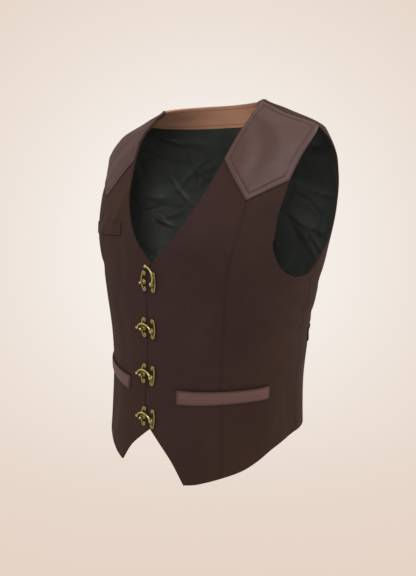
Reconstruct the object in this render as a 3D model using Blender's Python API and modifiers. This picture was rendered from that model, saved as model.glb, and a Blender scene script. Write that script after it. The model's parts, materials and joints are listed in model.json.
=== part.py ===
"""Steampunk vest: a lined, sleeveless waistcoat in dark twill, with leather shoulder yokes and
hip welts, closed at the front by four brass swing clasps.

It keeps the form that it has when worn, with nobody in it. The origin is midway between the two
neck points, where the shoulder seams meet the neck edge. X runs to the wearer's left, the wearer
faces -Y and Z is up. Lengths are metres, except in the tables and the clasp sizes, which are in
millimetres and degrees. An angle is measured round the torso from the centre front (0) by the
wearer's left side (90) to the centre back (180).
"""
from collections import namedtuple
from math import atan2, cos, pi, radians, sin

import bmesh
import bpy
import numpy as np
from mathutils import Matrix, Vector

MM = 0.001

# Cloth and leather, in layers counted outward from the torso form, which is the shell's outer face
SHELL = 1.8 * MM
LINING = 1.0 * MM
LEATHER = 1.4 * MM
WEBBING = 1.4 * MM
LAYER_GAP = 0.3 * MM
LINING_GAP = 0.4 * MM
SEAM_GAP = 0.3 * MM
WELD = 0.2 * MM
SHELL_LIFTS = (-SHELL, 0.0)
LINING_LIFTS = (-SHELL - LINING_GAP - LINING, -SHELL - LINING_GAP)
OVERLAY_LIFTS = (LAYER_GAP, LAYER_GAP + LEATHER)

# Torso sections: height, half width, depth in front and behind, and how square each half is
Section = namedtuple("Section", "height half_width front back front_square back_square")
TORSO = (
    Section(14, 80, 4, 64, 2.0, 2.0),
    Section(0, 98, 6, 72, 2.0, 2.0),
    Section(-15, 135, 28, 79, 2.0, 2.0),
    Section(-45, 194, 57, 90, 2.1, 2.2),
    Section(-90, 207, 88, 104, 2.2, 2.7),
    Section(-120, 207, 104, 109, 2.3, 2.9),
    Section(-150, 206, 119, 111, 2.4, 2.8),
    Section(-220, 195, 138, 112, 2.5, 2.6),
    Section(-290, 180, 137, 112, 2.5, 2.5),
    Section(-360, 170, 137, 110, 2.4, 2.4),
    Section(-430, 166, 143, 107, 2.3, 2.3),
    Section(-500, 169, 149, 104, 2.3, 2.3),
    Section(-575, 177, 155, 103, 2.3, 2.3),
)

# Corners of the left half's pieces
Spot = namedtuple("Spot", "angle height")
NECK_POINT = Spot(90, 0)
SHOULDER_TIP = Spot(88, -44)
FRONT_EDGE = 0.17  # half of the angle between the two fronts' edges
NECK_BOTTOM = Spot(FRONT_EDGE, -235)
YOKE_NECK = Spot(48, -86)
YOKE_TIP = Spot(55, -142)
YOKE_ARM = Spot(72, -116)
BUST_PRINCESS = Spot(46, -245)
ARM_FRONT = Spot(66, -220)
UNDERARM = Spot(90, -236)
UNDERARM_BACK = Spot(180, -240)
HEM_NOTCH = Spot(FRONT_EDGE, -488)
HEM_POINT = Spot(24, -559)
HEM_PRINCESS = Spot(44, -541)
HEM_SIDE = Spot(90, -497)
HEM_BACK = Spot(180, -500)
NAPE = Spot(180, 6)
BAND_BACK = Spot(180, -28)
RIDGE_ARM = Spot(97, -70)
RIDGE_BAND = Spot(104, -34)
RIDGE_BACK = Spot(180, -60)

# Where the fronts meet below the neck: how far round to the wearer's left, in degrees
Closure = namedtuple("Closure", "height angle")
CLOSURE = (Closure(-488, 0), Closure(-474, -3.2), Closure(-455, -4.4), Closure(-360, -4.6),
           Closure(-270, -4.4), Closure(-251, -3.2), Closure(-235, 0))

# The armhole's edge on the back, which reaches further forward on the wearer's right
LEFT_ARM = (UNDERARM, Spot(92, -228), Spot(95, -216), Spot(99, -203), Spot(102, -188), Spot(103.2, -150),
            Spot(101.5, -105), RIDGE_ARM, SHOULDER_TIP)
RIGHT_ARM = (UNDERARM, Spot(91.2, -226), Spot(92.6, -214), Spot(93.6, -200), Spot(94, -186),
             Spot(94.2, -150), Spot(95.2, -110), RIDGE_ARM, SHOULDER_TIP)

# Each welt's lower and upper line: front edge, inner end, princess seam, outer end, side or arm edge
HIP_WELT_LOW = (Spot(FRONT_EDGE, -446), Spot(19, -438), Spot(44, -430), Spot(69, -426), Spot(90, -424))
HIP_WELT_HIGH = (Spot(FRONT_EDGE, -424), Spot(19, -416), Spot(44, -410), Spot(69, -406), Spot(90, -404))
CHEST_WELT_LOW = (Spot(15, -198), Spot(28, -198), Spot(49, -201), Spot(59, -202), Spot(64, -200))
CHEST_WELT_HIGH = (Spot(21.5, -178), Spot(30, -178), Spot(51, -180), Spot(61, -183), Spot(65, -182))

# Grid of the panels: columns from the front edge or the arm edge, rows from the hem upward
CENTRE_INNER = 2
CENTRE_COLUMNS = 5
HEM_POINT_COLUMN = 3
SIDE_CHEST_COLUMNS = 3
SIDE_COLUMNS = 9
HIP_WELT_OUTER = 5
CHEST_WELT_OUTER = 2
BACK_SHOULDER_COLUMNS = 5
BACK_NECK_COLUMNS = 8
BACK_COLUMNS = BACK_SHOULDER_COLUMNS + BACK_NECK_COLUMNS
WAIST_ROWS = (0.0, 0.2, 0.4, 0.6, 0.81, 0.91, 1.0)
SHOULDER_ROWS = (0.0, 0.3, 0.55, 0.75, 0.88, 0.95, 1.0)
BLADE_ROWS = (0.0, 0.09, 0.19, 0.31, 0.46, 0.64, 0.82, 1.0)
RIDGE_ROWS = (0.0, 0.35, 0.65, 0.87, 1.0)
HEM, HIP_WELT, WAIST, BUST, CHEST_WELT, CHEST, SHOULDER = range(7)
BACK_HEM, BACK_STRAP, BACK_WAIST, BLADE, RIDGE, BAND = range(6)

# Cinch straps round the back, and the slide that joins them at the centre back
STRAP_LOW = -362
STRAP_HIGH = -338
STRAP_COLUMNS = (2, 10)
STRAP_NEAR = 34
STRAP_LIFT = 1.0
FOLD_STEPS = 6
SLIDE_WIRE = 1.2
BAR_SHARE = 0.95
SLIDE_BAR = 10.0
SLIDE_RAIL = 15.5
SLIDE_CORNER = 3.0
CORNER_STEPS = 2
SLIDE_LIFT = STRAP_LIFT + WEBBING / MM / 2 + LAYER_GAP / MM + SLIDE_WIRE
SLIDE_EASE = 1.5
TAIL_KINK = 7
TAIL_KINK_RISE = 1.2
TAIL_EASE = 4
LEFT_TAIL_END = 30
RIGHT_TAIL_END = 46

# Swing clasps, in millimetres, on a plane that touches the vest at the clasp's own spot
CLASP_SPOTS = (Spot(-3.4, -262), Spot(-4.5, -333), Spot(-4.3, -405), Spot(-2.5, -471))
OPEN_CLASP = 1
OPEN_ANGLE = 66
CLASP_SEAT = 0.6
SINK = 0.12
STRIP_WIDTH = 2.2
STRIP_DEPTH = 1.6
CURL_RADIUS = 3.2
CURL_END_RADIUS = 1.9
CURL_STEPS = 6
NAIL_PLATE_RADIUS = 2.6
NAIL_RADIUS = 1.7
NAIL_RISE = 1.1
NAIL_PLATE_DROP = 0.5
NAIL_DROP = 0.6
SPINE_STEPS = 4
POST_SPINE = -10.8
POST_CURLS = ((-4.8, 12.8), (-4.8, -9.8))
POST_PLACE = (-6.0, 0.0)
POST_FOOT_RADIUS = 4.3
POST_RADIUS = 1.4
POST_HEIGHT = 7.4
POST_BALL_RADIUS = 2.3
PIVOT_SPINE = 16.7
PIVOT_CURLS = ((12.2, 12.2), (12.2, -10.2))
PIVOT_PLACE = (11.2, -2.0)
PIVOT_FOOT_RADIUS = 4.7
FOOT_DEPTH = 2.0
PIN_RADIUS = 1.3
PIN_CLEARANCE = 0.3
PIN_HEAD_RADIUS = 2.4
PIN_HEAD_DEPTH = 1.0
EYE_RADIUS = 3.6
EYE_DEPTH = 1.8
HOOK_CHORD = 28.0
HOOK_RISE = 9.0
HOOK_TILT = 4.0
HOOK_FIRST = 0.085
HOOK_ROOT_RADIUS = 1.7
HOOK_TIP_RADIUS = 1.25
HOOK_ROOT_LIFT = 0.6
HOOK_TIP_LIFT = 1.3
HOOK_CREST = 1.2
HOOK_STEPS = 10
HOOK_BALL_RADIUS = 2.5
ROUND_SIDES = 12
POST_SIDES = 10
BALL_SEAT = 0.6  # share of its radius by which the post's ball stands above the post's end
PIN_SINK = 0.3


def clear_scene():
    for item in list(bpy.data.objects):
        bpy.data.objects.remove(item, do_unlink=True)


def new_collection(name):
    collection = bpy.data.collections.new(name)
    bpy.context.scene.collection.children.link(collection)
    return collection


# Materials

def material(name, colour, roughness, metallic=0.0):
    result = bpy.data.materials.new(name)
    result.use_nodes = True
    shader = result.node_tree.nodes["Principled BSDF"]
    shader.inputs["Base Color"].default_value = (*colour, 1.0)
    shader.inputs["Roughness"].default_value = roughness
    shader.inputs["Metallic"].default_value = metallic
    result.diffuse_color = (*colour, 1.0)
    return result


def twill(name):
    return material(name, (0.042, 0.025, 0.021), 0.85)


def yoke_leather(name):
    return material(name, (0.118, 0.065, 0.058), 0.45)


def tan_leather(name):
    return material(name, (0.205, 0.105, 0.062), 0.5)


def satin(name):
    return material(name, (0.021, 0.024, 0.022), 0.4)


def brass(name):
    return material(name, (0.42, 0.34, 0.13), 0.35, 1.0)


# The torso form, and lines and grids on it

def monotone(knots, values, at):
    """A smooth curve through the knots that never overshoots between them."""
    knots = np.asarray(knots, float)
    values = np.asarray(values, float)
    step = np.diff(knots)
    slope = np.diff(values) / step
    tangent = np.zeros(len(knots))
    tangent[0] = slope[0]
    tangent[-1] = slope[-1]
    for i in range(1, len(knots) - 1):
        if slope[i - 1] * slope[i] > 0:
            before = 2 * step[i] + step[i - 1]
            after = step[i] + 2 * step[i - 1]
            tangent[i] = (before + after) / (before / slope[i - 1] + after / slope[i])
    at = np.clip(np.asarray(at, float), knots[0], knots[-1])
    k = np.clip(np.searchsorted(knots, at, side="right") - 1, 0, len(knots) - 2)
    t = (at - knots[k]) / step[k]
    start = (2 * t**3 - 3 * t**2 + 1) * values[k] + (t**3 - 2 * t**2 + t) * step[k] * tangent[k]
    end = (3 * t**2 - 2 * t**3) * values[k + 1] + (t**3 - t**2) * step[k] * tangent[k + 1]
    return start + end


def torso(angle, height):
    """The torso form's points at some angles (degrees) and heights (mm)."""
    angle = np.radians(np.asarray(angle, float))
    height = np.asarray(height, float)
    rows = np.array(TORSO)[::-1]
    width, front, back, front_square, back_square = (
        monotone(rows[:, 0], rows[:, i], height) for i in range(1, 6))
    ahead = np.cos(angle) > 0
    depth = np.where(ahead, front, back)
    square = np.where(ahead, front_square, back_square)
    radius = ((np.abs(np.sin(angle)) / width) ** square
              + (np.abs(np.cos(angle)) / depth) ** square) ** (-1 / square)
    return np.stack([radius * np.sin(angle), -radius * np.cos(angle), height + 0 * angle], -1) * MM


def outward(angle, height):
    """The torso form's unit normals, pointing away from the wearer."""
    reach = 0.5
    middle = np.clip(height, TORSO[-1].height + reach, TORSO[0].height - reach)
    across = torso(np.asarray(angle) + reach, middle) - torso(np.asarray(angle) - reach, middle)
    up = torso(angle, middle + reach) - torso(angle, middle - reach)
    normal = np.cross(across, up)
    return normal / np.linalg.norm(normal, axis=-1, keepdims=True)


def lifted(grid, lift):
    """Points moved out from the torso form by a distance, or by one for each point."""
    angle, height = grid[..., 0], grid[..., 1]
    return torso(angle, height) + outward(angle, height) * np.asarray(lift)[..., None]


def shares(spots):
    """How far along the line through the spots each of them lies, from 0 to 1."""
    places = torso([s.angle for s in spots], [s.height for s in spots])
    run = np.concatenate([[0.0], np.cumsum(np.linalg.norm(np.diff(places, axis=0), axis=1))])
    return run / run[-1]


def path(*spots):
    """A smooth line through the spots, as a function of the share of its length."""
    run = shares(spots)

    def at(share):
        angle = monotone(run, [s.angle for s in spots], share)
        height = monotone(run, [s.height for s in spots], share)
        return np.stack([angle, height], -1)
    return at


def part_of(line, start, end):
    return lambda share: line(start + (end - start) * np.asarray(share, float))


def stretches(spots, breaks):
    """The smooth line through the spots, cut into one line between each two breaks."""
    line = path(*spots)
    run = dict(zip(spots, shares(spots)))
    return [part_of(line, run[a], run[b]) for a, b in zip(breaks, breaks[1:])]


def joined(first, second, corner):
    """Two lines end to end. The first takes the shares up to the corner."""
    def at(share):
        share = np.asarray(share, float)
        early = first(np.clip(share / corner, 0, 1))
        late = second(np.clip((share - corner) / (1 - corner), 0, 1))
        return np.where((share <= corner)[..., None], early, late)
    return at


def even(count):
    return np.linspace(0, 1, count + 1)


def patch(left, right, bottom, top, columns, rows):
    """A grid of angles and heights that fills the space between four lines."""
    u = np.asarray(columns)[None, :, None]
    v = np.asarray(rows)[:, None, None]
    low, high = bottom(u[0, :, 0])[None], top(u[0, :, 0])[None]
    near, far = left(v[:, 0, 0])[:, None], right(v[:, 0, 0])[:, None]
    corners = ((1 - v) * ((1 - u) * low[:, :1] + u * low[:, -1:])
               + v * ((1 - u) * high[:, :1] + u * high[:, -1:]))
    return (1 - v) * low + v * high + (1 - u) * near + u * far - corners


SHOULDER_SEAM = path(NECK_POINT, Spot(85.5, -13), Spot(84, -26), SHOULDER_TIP)
MID_SHOULDER_SHARE = CENTRE_COLUMNS / (CENTRE_COLUMNS + SIDE_CHEST_COLUMNS)
BAND_SHARE = 3 / 8
MID_SHOULDER = Spot(*SHOULDER_SEAM(MID_SHOULDER_SHARE))
BAND_SHOULDER = Spot(*SHOULDER_SEAM(BAND_SHARE))


def closure(height):
    """The angle at which the two fronts meet at a height."""
    return float(monotone([c.height for c in CLOSURE], [c.angle for c in CLOSURE], height))


def front_grids(side):
    """Grids of a front's centre panel and side panel, from the hem to the shoulder.

    The wearer's right front (side -1) is laid out on the left of the form and mirrored later.
    """
    def front_edge(height):
        return Spot(FRONT_EDGE + side * closure(height), height)

    def welt_line(spots, outer, side_columns):
        centre = joined(path(*spots[:2]), path(*spots[1:3]), CENTRE_INNER / CENTRE_COLUMNS)
        side = joined(path(*spots[2:4]), path(*spots[3:]), outer / side_columns)
        return centre, side

    hip_low_spots = (front_edge(HIP_WELT_LOW[0].height), *HIP_WELT_LOW[1:])
    hip_high_spots = (front_edge(HIP_WELT_HIGH[0].height), *HIP_WELT_HIGH[1:])
    hip_low = welt_line(hip_low_spots, HIP_WELT_OUTER, SIDE_COLUMNS)
    hip_high = welt_line(hip_high_spots, HIP_WELT_OUTER, SIDE_COLUMNS)
    chest_low = welt_line(CHEST_WELT_LOW, CHEST_WELT_OUTER, SIDE_CHEST_COLUMNS)
    chest_high = welt_line(CHEST_WELT_HIGH, CHEST_WELT_OUTER, SIDE_CHEST_COLUMNS)
    hem_centre = joined(path(HEM_NOTCH, Spot(8, -506), Spot(16, -527), HEM_POINT),
                        path(HEM_POINT, Spot(30, -555), Spot(36, -549), HEM_PRINCESS),
                        HEM_POINT_COLUMN / CENTRE_COLUMNS)
    hem_side = path(HEM_PRINCESS, Spot(55, -530), Spot(62, -520), Spot(71, -507), Spot(83, -499),
                    HEM_SIDE)
    arm_scoop = path(ARM_FRONT, Spot(69, -234), Spot(73, -242), Spot(79, -248), Spot(85, -247),
                     UNDERARM)
    bust_side = path(BUST_PRINCESS, ARM_FRONT)
    bust_whole = joined(bust_side, arm_scoop, SIDE_CHEST_COLUMNS / SIDE_COLUMNS)

    front_breaks = (HEM_NOTCH, hip_low_spots[0], hip_high_spots[0], NECK_BOTTOM)
    front = sorted({*front_breaks, *(front_edge(c.height) for c in CLOSURE)}, key=lambda s: s.height)
    neck_breaks = (NECK_BOTTOM, CHEST_WELT_LOW[0], CHEST_WELT_HIGH[0], YOKE_NECK)
    neck = (*neck_breaks[:3], Spot(27, -160), Spot(37, -124), YOKE_NECK)
    princess_breaks = (HEM_PRINCESS, HIP_WELT_LOW[2], HIP_WELT_HIGH[2], BUST_PRINCESS,
                       CHEST_WELT_LOW[2], CHEST_WELT_HIGH[2], YOKE_TIP)
    princess = (*princess_breaks[:3], Spot(45, -318), *princess_breaks[3:])
    side_seam = (HEM_SIDE, HIP_WELT_LOW[4], HIP_WELT_HIGH[4], UNDERARM)
    arm_breaks = (ARM_FRONT, CHEST_WELT_LOW[4], CHEST_WELT_HIGH[4], YOKE_ARM)
    arm = (*arm_breaks[:3], Spot(66, -164), Spot(69, -138), YOKE_ARM)

    inner = (stretches(front, front_breaks) + stretches(neck, neck_breaks)
             + [path(YOKE_NECK, Spot(58, -56), Spot(71, -28), NECK_POINT)])
    middle = stretches(princess, princess_breaks) + [path(YOKE_TIP, Spot(62, -100), MID_SHOULDER)]
    outer = (stretches(side_seam, side_seam) + stretches(arm, arm_breaks)
             + [path(YOKE_ARM, Spot(79, -78), SHOULDER_TIP)])
    centre_lines = (hem_centre, hip_low[0], hip_high[0], path(NECK_BOTTOM, BUST_PRINCESS),
                    chest_low[0], chest_high[0], path(YOKE_NECK, YOKE_TIP),
                    part_of(SHOULDER_SEAM, 0, MID_SHOULDER_SHARE))
    side_lines = (hem_side, hip_low[1], hip_high[1], bust_side, chest_low[1], chest_high[1],
                  path(YOKE_TIP, YOKE_ARM), part_of(SHOULDER_SEAM, MID_SHOULDER_SHARE, 1))
    rows = (even(3), even(1), WAIST_ROWS, even(2), even(1), even(3), SHOULDER_ROWS)

    centres = []
    sides = []
    for i in range(len(rows)):
        centres.append(patch(inner[i], middle[i], centre_lines[i], centre_lines[i + 1],
                             even(CENTRE_COLUMNS), rows[i]))
        top = bust_whole if i == WAIST else side_lines[i + 1]
        columns = SIDE_COLUMNS if i <= WAIST else SIDE_CHEST_COLUMNS
        sides.append(patch(middle[i], outer[i], side_lines[i], top, even(columns), rows[i]))
    return centres, sides


def back_grids(arm):
    """Grids of half of the back, from the hem to the neck edge, laid out on the left."""
    strap_low = path(Spot(90, STRAP_LOW), Spot(180, STRAP_LOW))
    strap_high = path(Spot(90, STRAP_HIGH), Spot(180, STRAP_HIGH))
    band_low = path(BAND_SHOULDER, Spot(96, -19), Spot(110, -23), Spot(135, -27), BAND_BACK)
    neck = path(NECK_POINT, Spot(105, 3), Spot(125, 5), Spot(150, 6), NAPE)
    top = joined(part_of(SHOULDER_SEAM, 1, BAND_SHARE), band_low,
                 BACK_SHOULDER_COLUMNS / BACK_COLUMNS)
    ridge = joined(path(RIDGE_ARM, Spot(98.5, -57), Spot(100.5, -45), RIDGE_BAND),
                   path(RIDGE_BAND, Spot(120, -45), Spot(145, -54), RIDGE_BACK),
                   BACK_SHOULDER_COLUMNS / BACK_COLUMNS)
    lines = (path(HEM_SIDE, HEM_BACK), strap_low, strap_high, path(UNDERARM, UNDERARM_BACK), ridge, top)
    outer = stretches((HEM_SIDE, Spot(90, STRAP_LOW), Spot(90, STRAP_HIGH), UNDERARM),
                      (HEM_SIDE, Spot(90, STRAP_LOW), Spot(90, STRAP_HIGH), UNDERARM))
    outer += stretches(arm, (UNDERARM, RIDGE_ARM, SHOULDER_TIP))
    spine = (HEM_BACK, Spot(180, STRAP_LOW), Spot(180, STRAP_HIGH), UNDERARM_BACK, RIDGE_BACK, BAND_BACK)
    inner = stretches(spine, spine)
    rows = (even(3), even(1), even(2), BLADE_ROWS, RIDGE_ROWS)
    grids = [patch(outer[i], inner[i], lines[i], lines[i + 1], even(BACK_COLUMNS), rows[i])
             for i in range(len(rows))]
    band_side = part_of(SHOULDER_SEAM, BAND_SHARE, 0)
    grids.append(patch(band_side, path(BAND_BACK, NAPE), band_low, neck,
                       even(BACK_NECK_COLUMNS), even(3)))
    return grids


# Walls. Their two faces are lofts through the torso sections, along the form's own normals, so that
# layers stay parallel and neighbouring walls meet squarely at a seam.

def seam_shift(points, side, distance):
    """The side of a grid, and the shift that draws it in, square to its own line."""
    edge, inner = {"left": (np.s_[:, 0], np.s_[:, 1]), "right": (np.s_[:, -1], np.s_[:, -2]),
                   "bottom": (np.s_[0], np.s_[1]), "top": (np.s_[-1], np.s_[-2])}[side]
    along = np.gradient(points[edge], axis=0)
    along /= np.linalg.norm(along, axis=-1, keepdims=True)
    toward = points[inner] - points[edge]
    toward -= along * np.sum(toward * along, axis=-1, keepdims=True)
    return edge, toward / np.linalg.norm(toward, axis=-1, keepdims=True) * distance


def grid_faces(rows, columns):
    """Two triangles for each cell, split the same way in every layer."""
    faces = []
    for row in range(rows - 1):
        for column in range(columns - 1):
            a = row * columns + column
            b, c, d = a + 1, a + columns + 1, a + columns
            faces += [(a, b, c), (a, c, d)]
    return faces


def solid_between(name, inner, outer, faces):
    """A closed mesh from two matching sets of points, with a rim round their open edges."""
    count = len(outer)
    points = np.concatenate([outer, inner])
    used = {(a, b) for face in faces for a, b in zip(face, face[1:] + face[:1])}
    rims = []
    for a, b in used:
        if (b, a) not in used:
            across = np.linalg.norm(outer[b] - inner[a]) < np.linalg.norm(outer[a] - inner[b])
            rims += ([(b, a, a + count), (b, a + count, b + count)] if across
                     else [(a, a + count, b + count), (a, b + count, b)])
    undersides = [tuple(i + count for i in face[::-1]) for face in faces]
    mesh = bpy.data.meshes.new(name)
    mesh.from_pydata(points.tolist(), [], faces + undersides + sorted(rims))
    return mesh


def place(mesh, finish, collection):
    """An object for a piece of cloth."""
    mesh.materials.append(finish)
    mesh.shade_smooth()
    mesh.set_sharp_from_angle(angle=radians(40))
    collection.objects.link(bpy.data.objects.new(mesh.name, mesh))


def wall(name, parts, low, high):
    """A wall between two lifts, over grids that share edges.

    Each part is a grid, its sides that are drawn in, and its half of the form: 1 the wearer's left,
    -1 the right. Points at the centre back stay there.
    """
    middle = np.zeros((0, 3))
    inner = []
    outer = []
    faces = []
    for grid, drawn, half in parts:
        at = lifted(grid, (low + high) / 2)
        shift = np.zeros(at.shape)
        for edge_name, (distance, count) in drawn.items():
            edge, move = seam_shift(at, edge_name, distance)
            move[count or len(move):] = 0
            shift[edge] += move
        shift[np.abs(at[..., 0]) < WELD] *= (0, 1, 1)
        mirror = np.array((half, 1, 1))
        under, over, centre = (((points + shift) * mirror).reshape(-1, 3)
                               for points in (lifted(grid, low), lifted(grid, high), at))
        number = []
        for spot, below, above in zip(centre, under, over):
            apart = np.linalg.norm(middle - spot, axis=1)
            if len(apart) and apart.min() < WELD:
                number.append(int(apart.argmin()))
                continue
            number.append(len(middle))
            middle = np.concatenate([middle, spot[None]])
            inner.append(below)
            outer.append(above)
        faces += [tuple(number[i] for i in face[::half]) for face in grid_faces(*at.shape[:2])]
    return solid_between(name, np.array(inner), np.array(outer), faces)


def with_seams(grids, rules, half):
    """Parts of a wall, from rules of (side, first grid, last grid) for what is drawn in."""
    return [(grid, {side: (SEAM_GAP / 2, None) for side, first, last in rules
                    if first <= i <= last}, half) for i, grid in enumerate(grids)]


def make_fronts(collection):
    shoulder = ("top", SHOULDER, SHOULDER)
    side_seam = ("right", HEM, WAIST)
    for word, half in (("left", 1), ("right", -1)):
        centre, side = front_grids(half)
        centre_shell = with_seams(centre, (("right", HEM, SHOULDER), shoulder), half)
        side_shell = with_seams(side, (("left", HEM, SHOULDER), side_seam, shoulder), half)
        centre_plain = with_seams(centre, (shoulder,), half)
        side_plain = with_seams(side, (side_seam, shoulder), half)
        yoke = centre_plain[SHOULDER:] + side_plain[SHOULDER:]
        hip_welt = [(centre[HIP_WELT][:, CENTRE_INNER:], {}, half),
                    (side[HIP_WELT][:, :HIP_WELT_OUTER + 1], {}, half)]
        chest_welt = [(centre[CHEST_WELT][:, CENTRE_INNER:], {}, half),
                      (side[CHEST_WELT][:, :CHEST_WELT_OUTER + 1], {}, half)]
        pieces = [
            (f"front_{word}_centre", centre_shell, SHELL_LIFTS, twill),
            (f"front_{word}_side", side_shell, SHELL_LIFTS, twill),
            (f"lining_front_{word}", centre_plain + side_plain, LINING_LIFTS, satin),
            (f"yoke_{word}", yoke, OVERLAY_LIFTS, yoke_leather),
            (f"welt_{word}", hip_welt, OVERLAY_LIFTS, yoke_leather),
        ]
        if half < 0:
            pieces.append(("welt_chest", chest_welt, OVERLAY_LIFTS, twill))
        for name, parts, lifts, finish in pieces:
            place(wall(name, parts, *lifts), finish(name), collection)


def make_back(collection):
    side_seam = ("left", BACK_HEM, BACK_WAIST)
    half_gap = SEAM_GAP / 2
    shell = []
    lining = []
    band = []
    for half, arm in ((1, LEFT_ARM), (-1, RIGHT_ARM)):
        grids = back_grids(arm)
        outside = with_seams(grids, (side_seam, ("left", BAND, BAND)), half)
        outside[RIDGE][1]["top"] = (half_gap, BACK_SHOULDER_COLUMNS + 1)
        shell += outside
        lining += with_seams(grids[:BAND], (side_seam, ("top", RIDGE, RIDGE)), half)
        band.append((grids[BAND], {"left": (half_gap, None), "bottom": (half_gap, None)}, half))
    for name, parts, lifts, finish in (("back", shell, SHELL_LIFTS, twill),
                                       ("lining_back", lining, LINING_LIFTS, satin),
                                       ("neck_band", band, LINING_LIFTS, tan_leather)):
        place(wall(name, parts, *lifts), finish(name), collection)


# Shapes that several pieces use

def evaluated(item):
    """The item's mesh with its modifiers applied and its caps welded."""
    bpy.context.view_layer.update()
    shape = item.evaluated_get(bpy.context.evaluated_depsgraph_get())
    mesh = bpy.data.meshes.new_from_object(shape)
    builder = bmesh.new()
    builder.from_mesh(mesh)
    bmesh.ops.remove_doubles(builder, verts=builder.verts, dist=0.005 * MM)
    builder.to_mesh(mesh)
    builder.free()
    return mesh


def loose(mesh, collection):
    item = bpy.data.objects.new(mesh.name, mesh)
    collection.objects.link(item)
    return item


def united(meshes, collection, cutter=None):
    """One mesh from several that overlap, less a cutter."""
    base = loose(meshes[0], collection)
    helpers = [loose(mesh, collection) for mesh in meshes[1:]]
    jobs = [(helper, "UNION") for helper in helpers]
    if cutter:
        helpers.append(loose(cutter, collection))
        jobs.append((helpers[-1], "DIFFERENCE"))
    for helper, job in jobs:
        join = base.modifiers.new(job.title(), "BOOLEAN")
        join.operation = job
        join.object = helper
        join.solver = "EXACT"
    result = evaluated(base)
    for item in (base, *helpers):
        bpy.data.objects.remove(item)
    return result


def primitive(name, make, **options):
    builder = bmesh.new()
    make(builder, **options)
    mesh = bpy.data.meshes.new(name)
    builder.to_mesh(mesh)
    builder.free()
    return mesh


def disc(name, place, radius, low, high, sides=ROUND_SIDES):
    """A round plate or pin in a clasp's plane, between two lifts. All in millimetres."""
    centre = Vector((place[0], place[1], (low + high) / 2)) * MM
    return primitive(name, bmesh.ops.create_cone, cap_ends=True, segments=sides, radius1=radius * MM,
                     radius2=radius * MM, depth=(high - low) * MM, matrix=Matrix.Translation(centre))


def ball(name, place, lift, radius, rise=None):
    """A ball, or a dome flattened to a rise, centred at a lift. All in millimetres."""
    centre = Matrix.Translation(Vector((place[0], place[1], lift)) * MM)
    squash = Matrix.Diagonal((1, 1, (rise or radius) / radius, 1))
    return primitive(name, bmesh.ops.create_uvsphere, u_segments=8, v_segments=5,
                     radius=radius * MM, matrix=centre @ squash)


def wire(name, points, radii, collection, closed=False):
    """A round wire through points in millimetres, as a mesh."""
    curve = bpy.data.curves.new(name, "CURVE")
    curve.dimensions = "3D"
    curve.bevel_depth = MM
    curve.bevel_resolution = 1
    curve.use_fill_caps = not closed
    spline = curve.splines.new("POLY")
    spline.points.add(len(points) - 1)
    spline.use_cyclic_u = closed
    for knot, point, radius in zip(spline.points, points, radii):
        knot.co = (*(Vector(point) * MM), 1)
        knot.radius = radius
    item = bpy.data.objects.new(name, curve)
    collection.objects.link(item)
    mesh = evaluated(item)
    bpy.data.objects.remove(item)
    return mesh


def surface_frame(angle, height):
    """A plane that touches the torso form: its X level, its Y up the cloth and its Z outward."""
    spot = np.array([[angle, height]], float)
    origin = Vector(lifted(spot, np.zeros(1))[0])
    out = Vector(outward(spot[:, 0], spot[:, 1])[0])
    level = Vector((0, 0, 1)).cross(out).normalized()
    frame = Matrix((level, out.cross(level), out)).transposed().to_4x4()
    frame.translation = origin
    return frame


# Cinch straps and slide

def back_angle(across, height):
    """The angle at which the back's form is a distance (mm) to the left of the centre back."""
    angles = np.linspace(120, 180, 241)
    reach = torso(angles, np.full(angles.shape, height))[:, 0] / MM
    angle = float(np.interp(-abs(across), -reach, angles))
    return angle if across >= 0 else 360 - angle


def strap_route(turn, tail_start, tail_end):
    """Distances from the centre back and lifts (mm) of a strap that folds round a bar at turn."""
    reach = SLIDE_LIFT - STRAP_LIFT
    tail_lift = STRAP_LIFT + (WEBBING + LAYER_GAP) / MM
    tail_kink = tail_start + TAIL_KINK
    route = [(STRAP_NEAR, STRAP_LIFT), ((STRAP_NEAR + turn) / 2, STRAP_LIFT)]
    for step in range(FOLD_STEPS + 1):
        bend = -pi / 2 - pi * step / FOLD_STEPS
        route.append((turn + reach * cos(bend), SLIDE_LIFT + reach * sin(bend)))
    return route + [(tail_start, SLIDE_LIFT + reach), (tail_kink, tail_lift + TAIL_KINK_RISE),
                    (tail_kink + TAIL_EASE, tail_lift), (tail_end, tail_lift)]


def strap_mesh(name, columns, turn, tail_start, tail_end, half):
    """A flat strap round the back, its free end folded round one of the slide's bars."""
    middle = (STRAP_LOW + STRAP_HIGH) / 2
    thick = WEBBING / MM / 2
    route = np.array(strap_route(turn, tail_start, tail_end))
    steps = np.diff(route, axis=0)
    steps /= np.linalg.norm(steps, axis=1, keepdims=True)
    along = np.concatenate([steps[:1], steps[:-1] + steps[1:], steps[-1:]])
    along /= np.linalg.norm(along, axis=1, keepdims=True)
    up = np.stack([along[:, 1], -along[:, 0]], -1)
    skins = []
    for sign in (-1, 1):
        near = route + up * thick * sign
        angles = [*columns, *(back_angle(across, middle) for across, _ in near)]
        lifts = [*(STRAP_LIFT + thick * sign for _ in columns), *near[:, 1]]
        grid = np.array([[(angle, height) for angle in angles] for height in (STRAP_LOW, STRAP_HIGH)])
        skins.append(lifted(grid, np.array([lifts] * 2) * MM).reshape(-1, 3) * (half, 1, 1))
    return solid_between(name, *skins, [face[::half] for face in grid_faces(2, len(angles))])


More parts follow.
